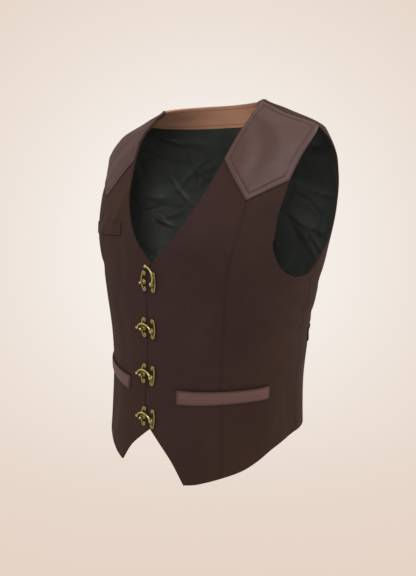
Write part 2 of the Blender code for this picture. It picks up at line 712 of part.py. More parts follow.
def make_cinch(collection):
    first, last = STRAP_COLUMNS
    columns = back_grids(LEFT_ARM)[BACK_STRAP][0, first:last + 1, 0]
    left = strap_mesh("strap_left", columns, SLIDE_BAR, SLIDE_BAR + SLIDE_EASE, LEFT_TAIL_END, 1)
    right = strap_mesh("strap_right", columns, 0, SLIDE_BAR + SLIDE_WIRE + SLIDE_EASE,
                       RIGHT_TAIL_END, -1)
    for mesh in (left, right):
        place(mesh, twill(mesh.name), collection)

    corners = []
    for quarter, (x, y) in enumerate(((1, 1), (-1, 1), (-1, -1), (1, -1))):
        for step in range(CORNER_STEPS + 1):
            turn = pi / 2 * (quarter + step / CORNER_STEPS)
            corners.append((x * (SLIDE_BAR - SLIDE_CORNER) + SLIDE_CORNER * cos(turn),
                            y * (SLIDE_RAIL - SLIDE_CORNER) + SLIDE_CORNER * sin(turn), SLIDE_LIFT))
    frame = wire("strap_slide", corners, [SLIDE_WIRE] * len(corners), collection, closed=True)
    ends = [(0, -SLIDE_RAIL, SLIDE_LIFT), (0, SLIDE_RAIL, SLIDE_LIFT)]
    bar = wire("slide_bar", ends, [SLIDE_WIRE * BAR_SHARE] * 2, collection)
    slide = loose(united([frame, bar], collection), collection)
    slide.name = "strap_slide"
    slide.data.materials.append(brass("strap_slide"))
    slide.matrix_world = surface_frame(180, (STRAP_LOW + STRAP_HIGH) / 2)


# Swing clasps, in the plane of surface_frame: X to the wearer's left, Y up, Z outward

def scroll(name, spine, curls, collection):
    """A flat strip bent to a C: its bowed back reaches the spine's place, and both ends curl."""
    turn = 1 if spine < curls[0][0] else -1
    points = []
    for (x, y), up in zip(curls, (1, -1)):
        curl = []
        for step in range(CURL_STEPS + 1):
            share = step / CURL_STEPS
            bend = pi - 1.5 * pi * share
            radius = CURL_RADIUS + (CURL_END_RADIUS - CURL_RADIUS) * share
            curl.append(((x + turn * radius * cos(bend)) * MM, (y + up * radius * sin(bend)) * MM))
        points.append(curl)
    first, second = points[0][0], points[1][0]
    spread = [step / SPINE_STEPS for step in range(1, SPINE_STEPS)]
    bowed = [(first[0] + (spine * MM - first[0]) * sin(pi * share), first[1] + (second[1] - first[1]) * share)
             for share in spread]
    line = points[0][::-1] + bowed + points[1]
    ribbon = bpy.data.curves.new(name, "CURVE")
    ribbon.dimensions = "2D"
    ribbon.fill_mode = "NONE"
    ribbon.extrude = STRIP_DEPTH / 2 * MM
    spline = ribbon.splines.new("POLY")
    spline.points.add(len(line) - 1)
    for knot, (x, y) in zip(spline.points, line):
        knot.co = (x, y, 0, 1)
    item = bpy.data.objects.new(name, ribbon)
    collection.objects.link(item)
    flat = loose(evaluated(item), collection)
    flat.data.transform(Matrix.Translation((0, 0, (CLASP_SEAT + STRIP_DEPTH / 2) * MM)))
    solid = flat.modifiers.new("Solidify", "SOLIDIFY")
    solid.thickness = STRIP_WIDTH * MM
    solid.offset = 0.0
    solid.use_even_offset = True
    mesh = evaluated(flat)
    for helper in (item, flat):
        bpy.data.objects.remove(helper)
    return mesh


def nails(curls):
    """A plate and a domed nail head in the eye of each curl."""
    top = CLASP_SEAT + STRIP_DEPTH
    result = []
    for place in curls:
        result.append(disc("nail_plate", place, NAIL_PLATE_RADIUS, CLASP_SEAT + SINK,
                           top - NAIL_PLATE_DROP, POST_SIDES))
        result.append(ball("nail", place, top - NAIL_DROP, NAIL_RADIUS, NAIL_RISE))
    return result


def post_plate_mesh(collection):
    foot = disc("post_foot", POST_PLACE, POST_FOOT_RADIUS, CLASP_SEAT + SINK / 2,
                CLASP_SEAT + FOOT_DEPTH)
    post = disc("post", POST_PLACE, POST_RADIUS, CLASP_SEAT + 2 * SINK, POST_HEIGHT, POST_SIDES)
    head = ball("post_ball", POST_PLACE, POST_HEIGHT + POST_BALL_RADIUS * BALL_SEAT,
                POST_BALL_RADIUS)
    strip = scroll("post_scroll", POST_SPINE, POST_CURLS, collection)
    return united([strip, *nails(POST_CURLS), foot, post, head], collection)


def pivot_plate_mesh(collection):
    foot_top = CLASP_SEAT + FOOT_DEPTH
    head_low = foot_top + EYE_DEPTH + 2 * PIN_CLEARANCE
    foot = disc("pivot_foot", PIVOT_PLACE, PIVOT_FOOT_RADIUS, CLASP_SEAT + SINK / 2, foot_top)
    pin = disc("pin", PIVOT_PLACE, PIN_RADIUS, CLASP_SEAT + 2 * SINK, head_low + PIN_SINK)
    head = disc("pin_head", PIVOT_PLACE, PIN_HEAD_RADIUS, head_low, head_low + PIN_HEAD_DEPTH)
    strip = scroll("pivot_scroll", PIVOT_SPINE, PIVOT_CURLS, collection)
    return united([strip, *nails(PIVOT_CURLS), foot, pin, head], collection)


def hook_line(share):
    """The hook's centre line from its pivot to its ball, an arch over the post: along, above, lift."""
    radius = ((HOOK_CHORD / 2) ** 2 + HOOK_RISE ** 2) / (2 * HOOK_RISE)
    half = 2 * atan2(HOOK_RISE, HOOK_CHORD / 2)
    bend = half * (2 * share - 1)
    lift = HOOK_ROOT_LIFT + (HOOK_TIP_LIFT - HOOK_ROOT_LIFT) * share + HOOK_CREST * sin(pi * share)
    return HOOK_CHORD / 2 + radius * sin(bend), radius * (cos(bend) - cos(half)), lift


def hook_mesh(collection):
    """The swing hook as it lies when latched, its pivot at the origin and its eye's middle at Z 0."""
    eye = disc("eye", (0, 0), EYE_RADIUS, -EYE_DEPTH / 2, EYE_DEPTH / 2)
    hole = disc("eye_hole", (0, 0), PIN_RADIUS + PIN_CLEARANCE, -EYE_DEPTH, EYE_DEPTH)
    tilt = Matrix.Rotation(radians(180 - HOOK_TILT), 3, "Z") @ Matrix.Diagonal((1, -1, 1))
    points = []
    radii = []
    for step in range(HOOK_STEPS + 1):
        share = HOOK_FIRST + (1 - HOOK_FIRST) * step / HOOK_STEPS
        points.append(tuple(tilt @ Vector(hook_line(share))))
        radii.append(HOOK_ROOT_RADIUS + (HOOK_TIP_RADIUS - HOOK_ROOT_RADIUS) * share)
    arm = wire("arm", points, radii, collection)
    tip = ball("hook_ball", points[-1][:2], points[-1][2], HOOK_BALL_RADIUS)
    return united([eye, arm, tip], collection, cutter=hole)


def make_clasps(collection):
    meshes = {"post_plate": post_plate_mesh(collection), "pivot_plate": pivot_plate_mesh(collection),
              "swing_hook": hook_mesh(collection)}
    for word, mesh in meshes.items():
        mesh.name = word
        mesh.materials.append(brass(word))
        mesh.shade_smooth()
        mesh.set_sharp_from_angle(angle=radians(35))
    eye_lift = CLASP_SEAT + FOOT_DEPTH + PIN_CLEARANCE + EYE_DEPTH / 2
    pivot = Vector((*PIVOT_PLACE, eye_lift)) * MM
    for number, spot in enumerate(CLASP_SPOTS, start=1):
        plane = bpy.data.objects.new(f"clasp_{number}", None)
        plane.matrix_world = surface_frame(*spot)
        collection.objects.link(plane)
        for word, mesh in meshes.items():
            item = bpy.data.objects.new(f"{word}_{number}", mesh)
            collection.objects.link(item)
            item.parent = plane
            if word == "swing_hook":
                item.location = pivot
                if number == OPEN_CLASP:
                    item.rotation_euler.z = -radians(OPEN_ANGLE)


def main():
    clear_scene()
    collection = new_collection("steampunk_vest")
    make_fronts(collection)
    make_back(collection)
    make_cinch(collection)
    make_clasps(collection)


if __name__ == "__main__":
    main()
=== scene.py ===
"""Steampunk vest, dressed: twill panels, leather yokes and welts, a satin lining and brass clasps.

Each piece of cloth is a wall between two lifts above or below the torso form that the solids are
built on, laid on a finer grid and moved by the same drape, so layers keep clear of each other.
Lengths are metres except in the tables and in what is marked mm. An angle is measured round the
torso in degrees, from the centre front (0) by the wearer's left side (90) to the centre back (180).
"""
import json
from collections import namedtuple
from functools import partial
from math import atan2, cos, pi, radians, sin

import bmesh
import bpy
import numpy as np
from mathutils import Matrix, Vector
from mathutils.bvhtree import BVHTree
from mathutils.kdtree import KDTree

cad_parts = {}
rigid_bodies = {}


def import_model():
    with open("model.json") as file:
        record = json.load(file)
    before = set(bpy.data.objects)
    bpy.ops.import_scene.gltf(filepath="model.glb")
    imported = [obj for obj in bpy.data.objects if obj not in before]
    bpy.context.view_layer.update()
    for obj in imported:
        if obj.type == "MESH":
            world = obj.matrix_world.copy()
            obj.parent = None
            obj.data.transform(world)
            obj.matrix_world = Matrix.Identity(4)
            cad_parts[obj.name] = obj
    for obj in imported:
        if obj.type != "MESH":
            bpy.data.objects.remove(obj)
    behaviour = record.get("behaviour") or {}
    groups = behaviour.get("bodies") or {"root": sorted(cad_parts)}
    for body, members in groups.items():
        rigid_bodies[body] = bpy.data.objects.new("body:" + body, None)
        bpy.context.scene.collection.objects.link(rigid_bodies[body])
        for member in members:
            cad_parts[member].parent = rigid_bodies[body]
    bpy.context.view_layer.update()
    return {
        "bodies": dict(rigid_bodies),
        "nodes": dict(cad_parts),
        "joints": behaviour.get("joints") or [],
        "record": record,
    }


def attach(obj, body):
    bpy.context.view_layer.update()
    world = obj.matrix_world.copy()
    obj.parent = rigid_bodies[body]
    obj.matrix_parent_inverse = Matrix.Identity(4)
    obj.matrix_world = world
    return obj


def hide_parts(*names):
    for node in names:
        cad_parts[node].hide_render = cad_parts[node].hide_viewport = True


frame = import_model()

bl_info = {
    "name": "Steampunk Vest",
    "version": (1, 0, 0),
    "blender": (4, 5, 0),
    "location": "View3D > Sidebar > Vest",
    "description": "Builds a dressed steampunk vest round its packed solids",
    "category": "Object",
}

MM = 0.001

# Layers, counted outward from the torso form, which is the shell's outer face
SHELL = 1.8 * MM
LINING = 1.0 * MM
LEATHER = 1.4 * MM
WEBBING = 1.4 * MM
LAYER_GAP = 0.3 * MM
LINING_GAP = 0.4 * MM
# Panels run past their seam by this much, so that no light shows through it
SEAM_LAP = 0.05 * MM
# Points nearer to each other than this are one, and those nearer to the middle plane stay on it
WELD = 0.05 * MM
SHELL_LIFTS = (-SHELL, 0.0)
LINING_LIFTS = (-SHELL - LINING_GAP - LINING, -SHELL - LINING_GAP)
OVERLAY_LIFTS = (LAYER_GAP, LAYER_GAP + LEATHER)

# Torso sections: height, half width, depth in front and behind, and how square each half is
Section = namedtuple("Section", "height half_width front back front_square back_square")
TORSO = (
    Section(14, 80, 4, 64, 2.0, 2.0), Section(0, 98, 6, 72, 2.0, 2.0), Section(-15, 135, 28, 79, 2.0, 2.0),
    Section(-45, 194, 57, 90, 2.1, 2.2), Section(-90, 207, 88, 104, 2.2, 2.7),
    Section(-120, 207, 104, 109, 2.3, 2.9), Section(-150, 206, 119, 111, 2.4, 2.8),
    Section(-220, 195, 138, 112, 2.5, 2.6), Section(-290, 180, 137, 112, 2.5, 2.5),
    Section(-360, 170, 137, 110, 2.4, 2.4), Section(-430, 166, 143, 107, 2.3, 2.3),
    Section(-500, 169, 149, 104, 2.3, 2.3), Section(-575, 177, 155, 103, 2.3, 2.3),
)

# Corners of the left half's pieces
Spot = namedtuple("Spot", "angle height")
NECK_POINT = Spot(90, 0)
SHOULDER_TIP = Spot(88, -44)
FRONT_EDGE = 0.17  # half of the angle (degrees) between the two fronts' edges
NECK_BOTTOM = Spot(FRONT_EDGE, -235)
YOKE_NECK = Spot(48, -86)
YOKE_TIP = Spot(55, -142)
YOKE_ARM = Spot(72, -116)
BUST_PRINCESS = Spot(46, -245)
ARM_FRONT = Spot(66, -220)
UNDERARM = Spot(90, -236)
UNDERARM_BACK = Spot(180, -240)
HEM_NOTCH = Spot(FRONT_EDGE, -488)
HEM_POINT = Spot(24, -559)
HEM_PRINCESS = Spot(44, -541)
HEM_SIDE = Spot(90, -497)
HEM_BACK = Spot(180, -500)
NAPE = Spot(180, 6)
BAND_BACK = Spot(180, -28)
RIDGE_ARM = Spot(97, -70)
RIDGE_BAND = Spot(104, -34)
RIDGE_BACK = Spot(180, -60)

# Where the fronts meet below the neck: how far round to the wearer's left, in degrees
Closure = namedtuple("Closure", "height angle")
CLOSURE = (Closure(-488, 0), Closure(-474, -3.2), Closure(-455, -4.4), Closure(-360, -4.6),
           Closure(-270, -4.4), Closure(-251, -3.2), Closure(-235, 0))

# The armhole's edge on the back, which reaches further forward on the wearer's right
LEFT_ARM = (UNDERARM, Spot(92, -228), Spot(95, -216), Spot(99, -203), Spot(102, -188), Spot(103.2, -150),
            Spot(101.5, -105), RIDGE_ARM, SHOULDER_TIP)
RIGHT_ARM = (UNDERARM, Spot(91.2, -226), Spot(92.6, -214), Spot(93.6, -200), Spot(94, -186),
             Spot(94.2, -150), Spot(95.2, -110), RIDGE_ARM, SHOULDER_TIP)

# Each welt's lower and upper line: front edge, inner end, princess seam, outer end, side or arm edge
HIP_WELT_LOW = (Spot(FRONT_EDGE, -446), Spot(19, -438), Spot(44, -430), Spot(69, -426), Spot(90, -424))
HIP_WELT_HIGH = (Spot(FRONT_EDGE, -424), Spot(19, -416), Spot(44, -410), Spot(69, -406), Spot(90, -404))
CHEST_WELT_LOW = (Spot(15, -198), Spot(28, -198), Spot(49, -201), Spot(59, -202), Spot(64, -200))
CHEST_WELT_HIGH = (Spot(21.5, -178), Spot(30, -178), Spot(51, -180), Spot(61, -183), Spot(65, -182))

# Grid of the panels: columns from the front edge or the arm edge, rows from the hem upward
CENTRE_INNER = 2
CENTRE_COLUMNS = 5
HEM_POINT_COLUMN = 3
SIDE_CHEST_COLUMNS = 3
SIDE_COLUMNS = 9
HIP_WELT_OUTER = 5
CHEST_WELT_OUTER = 2
BACK_SHOULDER_COLUMNS = 5
BACK_NECK_COLUMNS = 8
BACK_COLUMNS = BACK_SHOULDER_COLUMNS + BACK_NECK_COLUMNS
WAIST_ROWS = (0.0, 0.2, 0.4, 0.6, 0.81, 0.91, 1.0)
SHOULDER_ROWS = (0.0, 0.3, 0.55, 0.75, 0.88, 0.95, 1.0)
BLADE_ROWS = (0.0, 0.09, 0.19, 0.31, 0.46, 0.64, 0.82, 1.0)
RIDGE_ROWS = (0.0, 0.35, 0.65, 0.87, 1.0)
HEM, HIP_WELT, WAIST, BUST, CHEST_WELT, CHEST, SHOULDER = range(7)
BACK_HEM, BACK_STRAP, BACK_WAIST, BLADE, RIDGE, BAND = range(6)

# Cinch straps round the back, and the slide that joins them at the centre back
STRAP_LOW = -362
STRAP_HIGH = -338
STRAP_COLUMNS = (2, 10)
STRAP_NEAR = 34
STRAP_LIFT = 1.0
FOLD_STEPS = 6
SLIDE_WIRE = 1.2
BAR_SHARE = 0.95  # thickness of its middle bar beside its wire
SLIDE_BAR = 10.0
SLIDE_RAIL = 15.5
SLIDE_CORNER = 3.0
SLIDE_CORNER_STEPS = 8
SLIDE_BAR_STEPS = 9
SLIDE_LIFT = STRAP_LIFT + WEBBING / MM / 2 + LAYER_GAP / MM + SLIDE_WIRE
SLIDE_EASE = 1.5
TAIL_KINK = 7
TAIL_KINK_RISE = 1.2
TAIL_EASE = 4
LEFT_TAIL_END = 30
RIGHT_TAIL_END = 46

# Swing clasps, in millimetres, on a plane that touches the vest at the clasp's own spot
CLASP_SPOTS = (Spot(-3.4, -262), Spot(-4.5, -333), Spot(-4.3, -405), Spot(-2.5, -471))
OPEN_CLASP = 1
OPEN_ANGLE = 66
CLASP_SEAT = 0.6
STRIP_WIDTH = 2.2
STRIP_DEPTH = 1.6
CURL_RADIUS = 3.2
CURL_END_RADIUS = 1.9
CURL_TURN = 1.72  # half turns
SPINE_POINTS = 16
# A strip's width and depth at its middle, as shares of its own, and what its ends lose of them
STRIP_WIDEST = 1.06
STRIP_NARROWING = 0.28
STRIP_DEEPEST = 1.12
STRIP_THINNING = 0.12
STRIP_SQUARE = 3.0  # how square the sections of strips and links are; 2 is round
NAIL_PLATE_RADIUS = 2.6
NAIL_RADIUS = 1.7
NAIL_RISE = 1.1
NAIL_PLATE_DROP = 0.5
NAIL_DROP = 0.6
NAIL_PLATE_RIM = 0.2
NAIL_PLATE_DISH = 0.25
NAIL_FOOT = 0.3
NAIL_SIDES = 16
POST_SPINE = -10.8
POST_CURLS = ((-4.8, 12.8), (-4.8, -9.8))
POST_PLACE = (-6.0, 0.0)
POST_FOOT_RADIUS = 4.3
POST_RADIUS = 1.4
POST_HEIGHT = 7.4
POST_BALL_RADIUS = 2.3
# The post's profile: radii and lifts, at first from its foot and then from its height
POST_LOW = ((2.3, 0), (2.2, 0.4), (1.75, 0.8), (POST_RADIUS, 1.3))
POST_HIGH = ((POST_RADIUS, -0.6), (1.7, -0.2), (1.75, 0.2), (1.3, 0.5))
POST_SINK = 0.3
POST_SIDES = 18
POST_BALL_SIDES = 20
PIVOT_SPINE = 16.7
PIVOT_CURLS = ((12.2, 12.2), (12.2, -10.2))
PIVOT_PLACE = (11.2, -2.0)
PIVOT_FOOT_RADIUS = 4.7
FOOT_DEPTH = 2.0
# A foot's stepped rim: how far in from its radius and up from its top
FOOT_RIM = ((0, -1.1), (0.15, -0.8), (0.5, -0.65), (0.85, -0.6), (1.0, -0.25), (1.3, -0.03), (1.7, 0))
FOOT_SIDES = 28
PIN_RADIUS = 1.3
PIN_CLEARANCE = 0.3
PIN_HEAD_RADIUS = 2.4
PIN_HEAD_DEPTH = 1.0
PIN_SINK = 0.2
PIN_SIDES = 16
PIN_HEAD_SIDES = 20
PIN_HEAD_EDGE = 0.35
PIN_HEAD_RIM = 0.25
EYE_RADIUS = 3.6
EYE_DEPTH = 1.8
HOOK_CHORD = 28.0
HOOK_RISE = 9.0
HOOK_TILT = 4.0
HOOK_FIRST = 0.085
HOOK_ROOT_RADIUS = 1.7
HOOK_TIP_RADIUS = 1.25
HOOK_ROOT_LIFT = 0.6
HOOK_TIP_LIFT = 1.3
HOOK_CREST = 1.2
HOOK_BALL_RADIUS = 2.5
HOOK_STEPS = 30
HOOK_BALL_SIDES = 22
EYE_STEPS = 36
EYE_SQUARE = 2.6
# The collar before the hook's ball: how much it swells, where on the hook and over what share of it
HOOK_COLLAR = 0.16
HOOK_COLLAR_PLACE = 0.93
HOOK_COLLAR_WIDTH = 0.03
BALL_SEAT = 0.6  # share of its radius by which the post's ball stands above the post's end

# The finer grids, and how cloth and metal are finished
FINE = 5
YOKE_FINE = 9
LINING_FINE = 8
# Rows of a yoke, closer together near its pointed lower edge
YOKE_ROWS = (*np.linspace(0, YOKE_FINE, 3 * YOKE_FINE + 1)[:-1],
             *range(YOKE_FINE, (len(SHOULDER_ROWS) - 1) * YOKE_FINE + 1))
OPEN_RAYS = 20
GOLDEN_TURN = pi * (3 - 5 ** 0.5)  # radians from one ray to the next, which spreads them evenly
OPEN_REACH = 3.0  # mm within which metal shades itself
RAY_START = 0.05
CLOTH_SHADE = 0.2  # mm above the cloth below which the cloth shades it
RUBBED_RISE = 3.0  # mm above a plate's seat at which metal is rubbed the most
RUBBED_POWER = 1.3
RUBBED_LEAST = 0.55  # share of the rubbing that is left down at its seat
# Degrees between two faces from which the edge between them is drawn sharp
CLOTH_SHARP = 42
METAL_SHARP = 60
# The rolled edges
EDGE_HALF_THICKNESS = 1.65 * MM
EDGE_HALF_WIDTH = 0.9 * MM
EDGE_LIFT = -1.6 * MM
EDGE_SIDES = 10
# How far the front edges press on each other where they meet
FRONT_PRESS = 0.35 * MM
# The painted shadow on the cloth round a clasp: how dark, how far to the left its middle is, and its size, mm
CLASP_SHADOW_DARKNESS = 0.5
CLASP_SHADOW_MIDDLE = 3.0
CLASP_SHADOW_HALF_WIDTH = 19.0
CLASP_SHADOW_HALF_HEIGHT = 19.0
PRESSED = 0.5 * MM  # how far the outer face dips at a seam
GIRTH = 165.0  # mm of cloth to a radian of the form, near enough for creases and weave

# Soft creases, each a trough or ridge along a short line: where its middle is, half of its length
# (mm), how far it leans from level (degrees), how far it bows, its height (mm, in is negative)
# and its half width (mm). An angle below 0 is on the wearer's right.
Crease = namedtuple("Crease", "angle height length lean bow depth width")
SHELL_CREASES = [Crease(*row) for row in (
    (-88, -26, 70, 0, 0, -4.5, 34), (57, -92, 40, 58, 0.1, 1.5, 8), (66, -74, 36, 66, 0.1, -1.4, 7),
    (73, -66, 30, 74, 0.1, 1.3, 7), (-60, -84, 38, 76, 0.1, 1.7, 8), (-69, -78, 36, 84, 0.1, -1.8, 7),
    (-78, -74, 32, 88, 0.1, 1.5, 7), (84, -262, 34, 8, 0.1, -2.2, 9), (78, -281, 28, -4, 0.2, -1.8, 8),
    (86, -300, 36, -10, -0.1, -2.1, 10), (72, -330, 40, 22, 0.1, -1.3, 11),
    (96, -345, 44, -12, 0.2, -2.5, 11), (104, -318, 30, 14, 0.1, -1.8, 10),
    (-36, -168, 44, 84, 0.1, 2.2, 10), (-47, -205, 50, 78, -0.1, 2.0, 11),
    (-27, -236, 38, 96, 0.1, -1.7, 11), (-60, -258, 36, 12, 0.1, -2.0, 10),
    (-80, -285, 42, -8, 0.2, -2.2, 10), (-84, -330, 34, 10, 0, -1.7, 10), (34, -300, 70, 74, 0.1, -1.3, 16),
    (22, -365, 46, 66, 0.1, 1.0, 14), (-28, -340, 60, 104, 0.1, -1.4, 15),
    (52, -470, 52, 80, 0.05, -2.1, 18), (33, -486, 46, 98, 0.1, 1.7, 15), (68, -462, 44, 86, 0.1, 1.8, 16),
    (84, -450, 50, 95, 0, -2.0, 15), (-38, -482, 48, 82, 0.1, -1.8, 16), (-64, -466, 46, 100, 0, 1.7, 15),
    (-86, -455, 50, 86, 0, -2.0, 16), (61, -168, 34, 70, 0.2, -1.5, 12), (30, -205, 46, 40, 0.1, 1.1, 15),
    (-30, -118, 30, 64, 0.1, -1.3, 12), (150, -322, 44, 8, 0.15, -3.5, 8),
    (208, -318, 40, -7, -0.1, -3.2, 8), (165, -300, 36, -6, 0.1, 2.6, 8), (192, -288, 42, 9, 0.1, -2.4, 9),
    (136, -296, 40, 16, 0.2, -2.6, 10), (224, -292, 38, -14, -0.1, -2.4, 10),
    (142, -392, 40, 68, 0.1, -3.2, 10), (158, -402, 48, 84, 0.05, 2.9, 11),
    (172, -410, 52, 93, 0, -3.5, 11), (189, -404, 46, 88, 0, 2.7, 10), (205, -396, 44, 104, 0.1, -3.2, 11),
    (220, -400, 38, 98, 0, 2.2, 11), (126, -420, 44, 78, 0.1, 2.1, 13), (238, -424, 42, 96, 0.1, -2.2, 13),
    (128, -200, 46, 58, 0.2, -2.7, 12), (232, -196, 44, -56, 0.2, -2.7, 12),
    (150, -150, 40, 42, 0.1, 1.9, 13), (212, -156, 38, -44, 0.1, 1.8, 12),
    (176, -230, 60, 88, 0.05, -1.6, 17), (114, -258, 36, 20, 0.2, -2.6, 9),
    (246, -262, 34, -18, 0.1, -2.4, 9), (168, -84, 60, 4, 0.1, -1.4, 14), (160, -338, 40, 12, 0.2, -2.6, 8),
    (199, -336, 38, -14, -0.2, -2.4, 8), (171, -270, 44, 100, 0.1, -1.8, 11),
    (188, -262, 40, 78, 0.1, 1.6, 11),
)]
# More on the lining, which only ever stands in from the shell
LINING_CREASES = [Crease(*row) for row in (
    (246, -42, 34, 22, 0.15, -3.0, 3.5), (244, -52, 30, 26, 0.1, 1.6, 5), (226, -52, 30, 12, 0.1, -1.2, 5),
    (237, -135, 30, 57, 0.1, -2.8, 3.5), (236, -126, 34, -49, 0.1, -2.8, 3.5),
    (243, -126, 20, -10, 0, 1.5, 6.5), (230, -140, 18, 0, 0, 1.3, 6.5), (248, -192, 18, 42, 0.2, -3.0, 3.5),
    (254, -176, 24, 30, 0.1, 1.6, 8), (238, -178, 26, -30, 0.1, -2.0, 5), (250, -150, 26, 12, 0.2, -1.8, 5),
    (257, -98, 30, 70, 0.1, -1.8, 5.5), (226, -96, 26, -50, 0.2, -2.4, 4),
    (222, -120, 24, -42, 0.1, -2.0, 4), (212, -104, 44, 78, 0.1, -1.8, 6.5),
    (200, -140, 50, 24, 0.2, -2.4, 5), (190, -172, 46, -34, 0.15, -2.6, 5),
    (178, -104, 54, 8, 0.1, -2.0, 5.5), (166, -150, 50, 40, -0.2, -2.4, 5),
    (206, -206, 44, 16, 0.2, -2.2, 5.5), (228, -232, 46, -22, 0.2, -2.4, 5.5),
    (176, -236, 56, -14, 0.2, -2.2, 6.5), (152, -214, 40, 52, -0.2, -2.4, 5),
    (112, -64, 30, 8, 0.1, -2.8, 3.5), (114, -76, 34, 12, 0.1, 1.4, 5.5),
    (117, -137, 46, 8, 0.1, -2.8, 3.5), (120, -126, 38, 12, 0.1, 1.5, 6.5),
    (131, -183, 44, 22, 0.1, -2.8, 4), (126, -170, 34, 20, 0.1, 1.4, 7), (118, -212, 30, 34, 0.1, -2.4, 4),
    (140, -106, 40, -30, 0.1, -2.0, 5), (104, -110, 30, 62, 0.1, -1.8, 5),
    (-62, -170, 48, 82, 0.2, -2.2, 5.5), (-44, -214, 52, 66, 0.15, -2.4, 5.5),
    (-82, -246, 48, 30, 0.2, -2.4, 5.5), (108, -250, 46, 24, 0.2, -2.4, 5.5),
    (140, -272, 54, -34, 0.2, -2.4, 6.5), (50, -220, 52, 70, 0.2, -2.0, 6.5),
    (72, -300, 50, 18, 0.2, -2.0, 6.5), (28, -300, 52, 58, 0.2, -1.8, 7),
    (158, -330, 58, 14, 0.2, -2.2, 6.5), (210, -342, 56, -18, 0.2, -2.2, 6.5),
    (176, -420, 52, 84, 0.1, -2.2, 7), (132, -400, 50, 70, 0.1, -2.2, 7),
    (232, -404, 50, 108, 0.1, -2.2, 7), (-30, -380, 50, 80, 0.1, -2.0, 7), (40, -420, 48, 76, 0.1, -2.0, 7),
    (-70, -400, 50, 96, 0.1, -2.1, 7),
)]
LINING_SLACK = 0.7  # mm that it stands in everywhere, so that some creases are ridges
LINING_REACH = 4.0  # mm that the lining's own creases may stand in from the shell
LINING_FADE = 16.0  # mm from an edge within which they fade
# Where metal holds the cloth flat: angle, height and the half sizes of the spot (mm)
Calm = namedtuple("Calm", "angle height half_width half_height")
CALM_SPOTS = (Calm(-3.5, -366, 34, 125), Calm(180, (STRAP_LOW + STRAP_HIGH) / 2, 46, 36))

# The raised middle of a welt, and how far its mouth stands open, mm
WELT_CROWN = 1.1
WELT_GAPE = 1.1
# How full the breast welt is beside a hip welt, a hip welt's length and height (mm), and the shares
# of its length over which its mouth opens and its crown rises from each end
CHEST_WELT_FULLNESS = 0.15
WELT_RUN = 146.0
WELT_HEIGHT = 21.0
WELT_OPENING = 0.12
WELT_ROUNDING = 0.02
WELT_FLATNESS = 3.5  # the higher, the flatter between its long edges
WELT_END_CROWN = 0.1  # share of its crown that is left at its ends
WELT_SEAT = 0.35  # mm by which its face lies lower where it isn't crowned
# The face of a yoke by the distance from its edge: distance and lift, mm
YOKE_FACE = ((0, -0.75), (1.5, -0.1), (3.5, 0.35), (6.4, 0.15), (8, -0.6), (9.6, 0.05), (14, 0.2), (40, 0.45))
# How far from an edge or a row of stitches painted shade reaches (mm), and how dark each painted shade is
SHADE_REACH = 1.1
STITCH_SHADE = 0.6
ROLLED_EDGE_SHADE = 0.4
SEAM_SHADE = 0.38
STRAP_EDGE_SHADE = 0.8
CHEST_WELT_SHADE = 0.4
YOKE_SHADE = 0.5
WELT_SHADE = 0.8
# Rows of stitches, mm: how far in from an edge, how deep in a face or above it they lie, and the
# thread's pitch, length and radius
YOKE_STITCH = 8.0
YOKE_STITCH_DEPTH = 0.4
STITCH_SPARE = 0.45  # by which a stitch may lie nearer to an edge than its row
FRONT_STITCH = 12.0
FRONT_STITCH_LIFT = 0.05
BAND_STITCH = 5.5
BAND_STITCH_DEPTH = 0.1
WELT_STITCH = 3.0
WELT_STITCH_DEPTH = 0.55
STRAP_STITCH = 3.2
STRAP_STITCH_DEPTH = 0.05
STITCH_PITCH = 3.7
STITCH_LENGTH = 2.9
THREAD_RADIUS = 0.34
STITCH_SIDES = 5
# The rings of a stitch: places along it in half lengths, rises and sizes in radii of the thread
STITCH_SHAPE = ((-1.0, -0.9, 0.5), (-0.55, -0.1, 1.0), (0.55, -0.1, 1.0), (1.0, -0.9, 0.5))
SLOPE_STEP = 0.25  # degrees and mm either way over which the form's slope is taken

# Cut sizes of the cloth pieces: width and length laid flat, and area, in metres
Cut = namedtuple("Cut", "width length area")

# Steps and thicknesses of the straps and scrolls
STRAP_STEPS = 60
STRAP_STEP = 1.6
STRAP_WIDTH_STEPS = 9
STRAP_EDGE_THINNING = 0.35  # share of its thickness that a strap loses at its edges
BACK_ANGLES = (120, 180, 241)  # first, last and count of the angles between which the straps are placed
SCROLL_STEPS = 22
STRIP_SWELL = 1.3
NAIL_SWELL = 1.15
YOKE_TRIM = 0.4 * MM
# Pitch of the twill's ribs, of the satin's and of the thread's twist, in metres
TWILL_PITCH = 0.0011
SATIN_PITCH = 0.0006
TWIST_PITCH = 0.0009
WELT_LIGHTER = 1.65  # times the yokes' colour
DOME_END = 0.985  # share of a quarter turn at which a dome or ball ends in a small flat
# The flat links that join a plate's spine to its foot, mm
LINK_LIFT = 0.75
LINK_DEPTH = 1.3
POST_LINK_WIDTH = 2.6
PIVOT_LINK_WIDTH = 2.8

# The photo's camera and the stage
CAMERA_BACK = (0.606, -0.770, 0.198)
VIEW_CENTRE = (-0.003, 0.0, -0.292)
CAMERA_DISTANCE = 0.910
FLOOR = -1.4
BOWL_RADIUS = 3.0
BOWL_BEND = 1.2
BOWL_TOP = 2.6
BOWL_SIDES = 96
BOWL_STEPS = 12
BOWL_MIDDLE = 0.001
GLOW_RADIUS = 2.6
ROOM_LIGHT = 0.5
ROOM_COLOUR = (1.0, 0.95, 0.9, 1.0)
SENSOR_WIDTH = 36.0  # mm
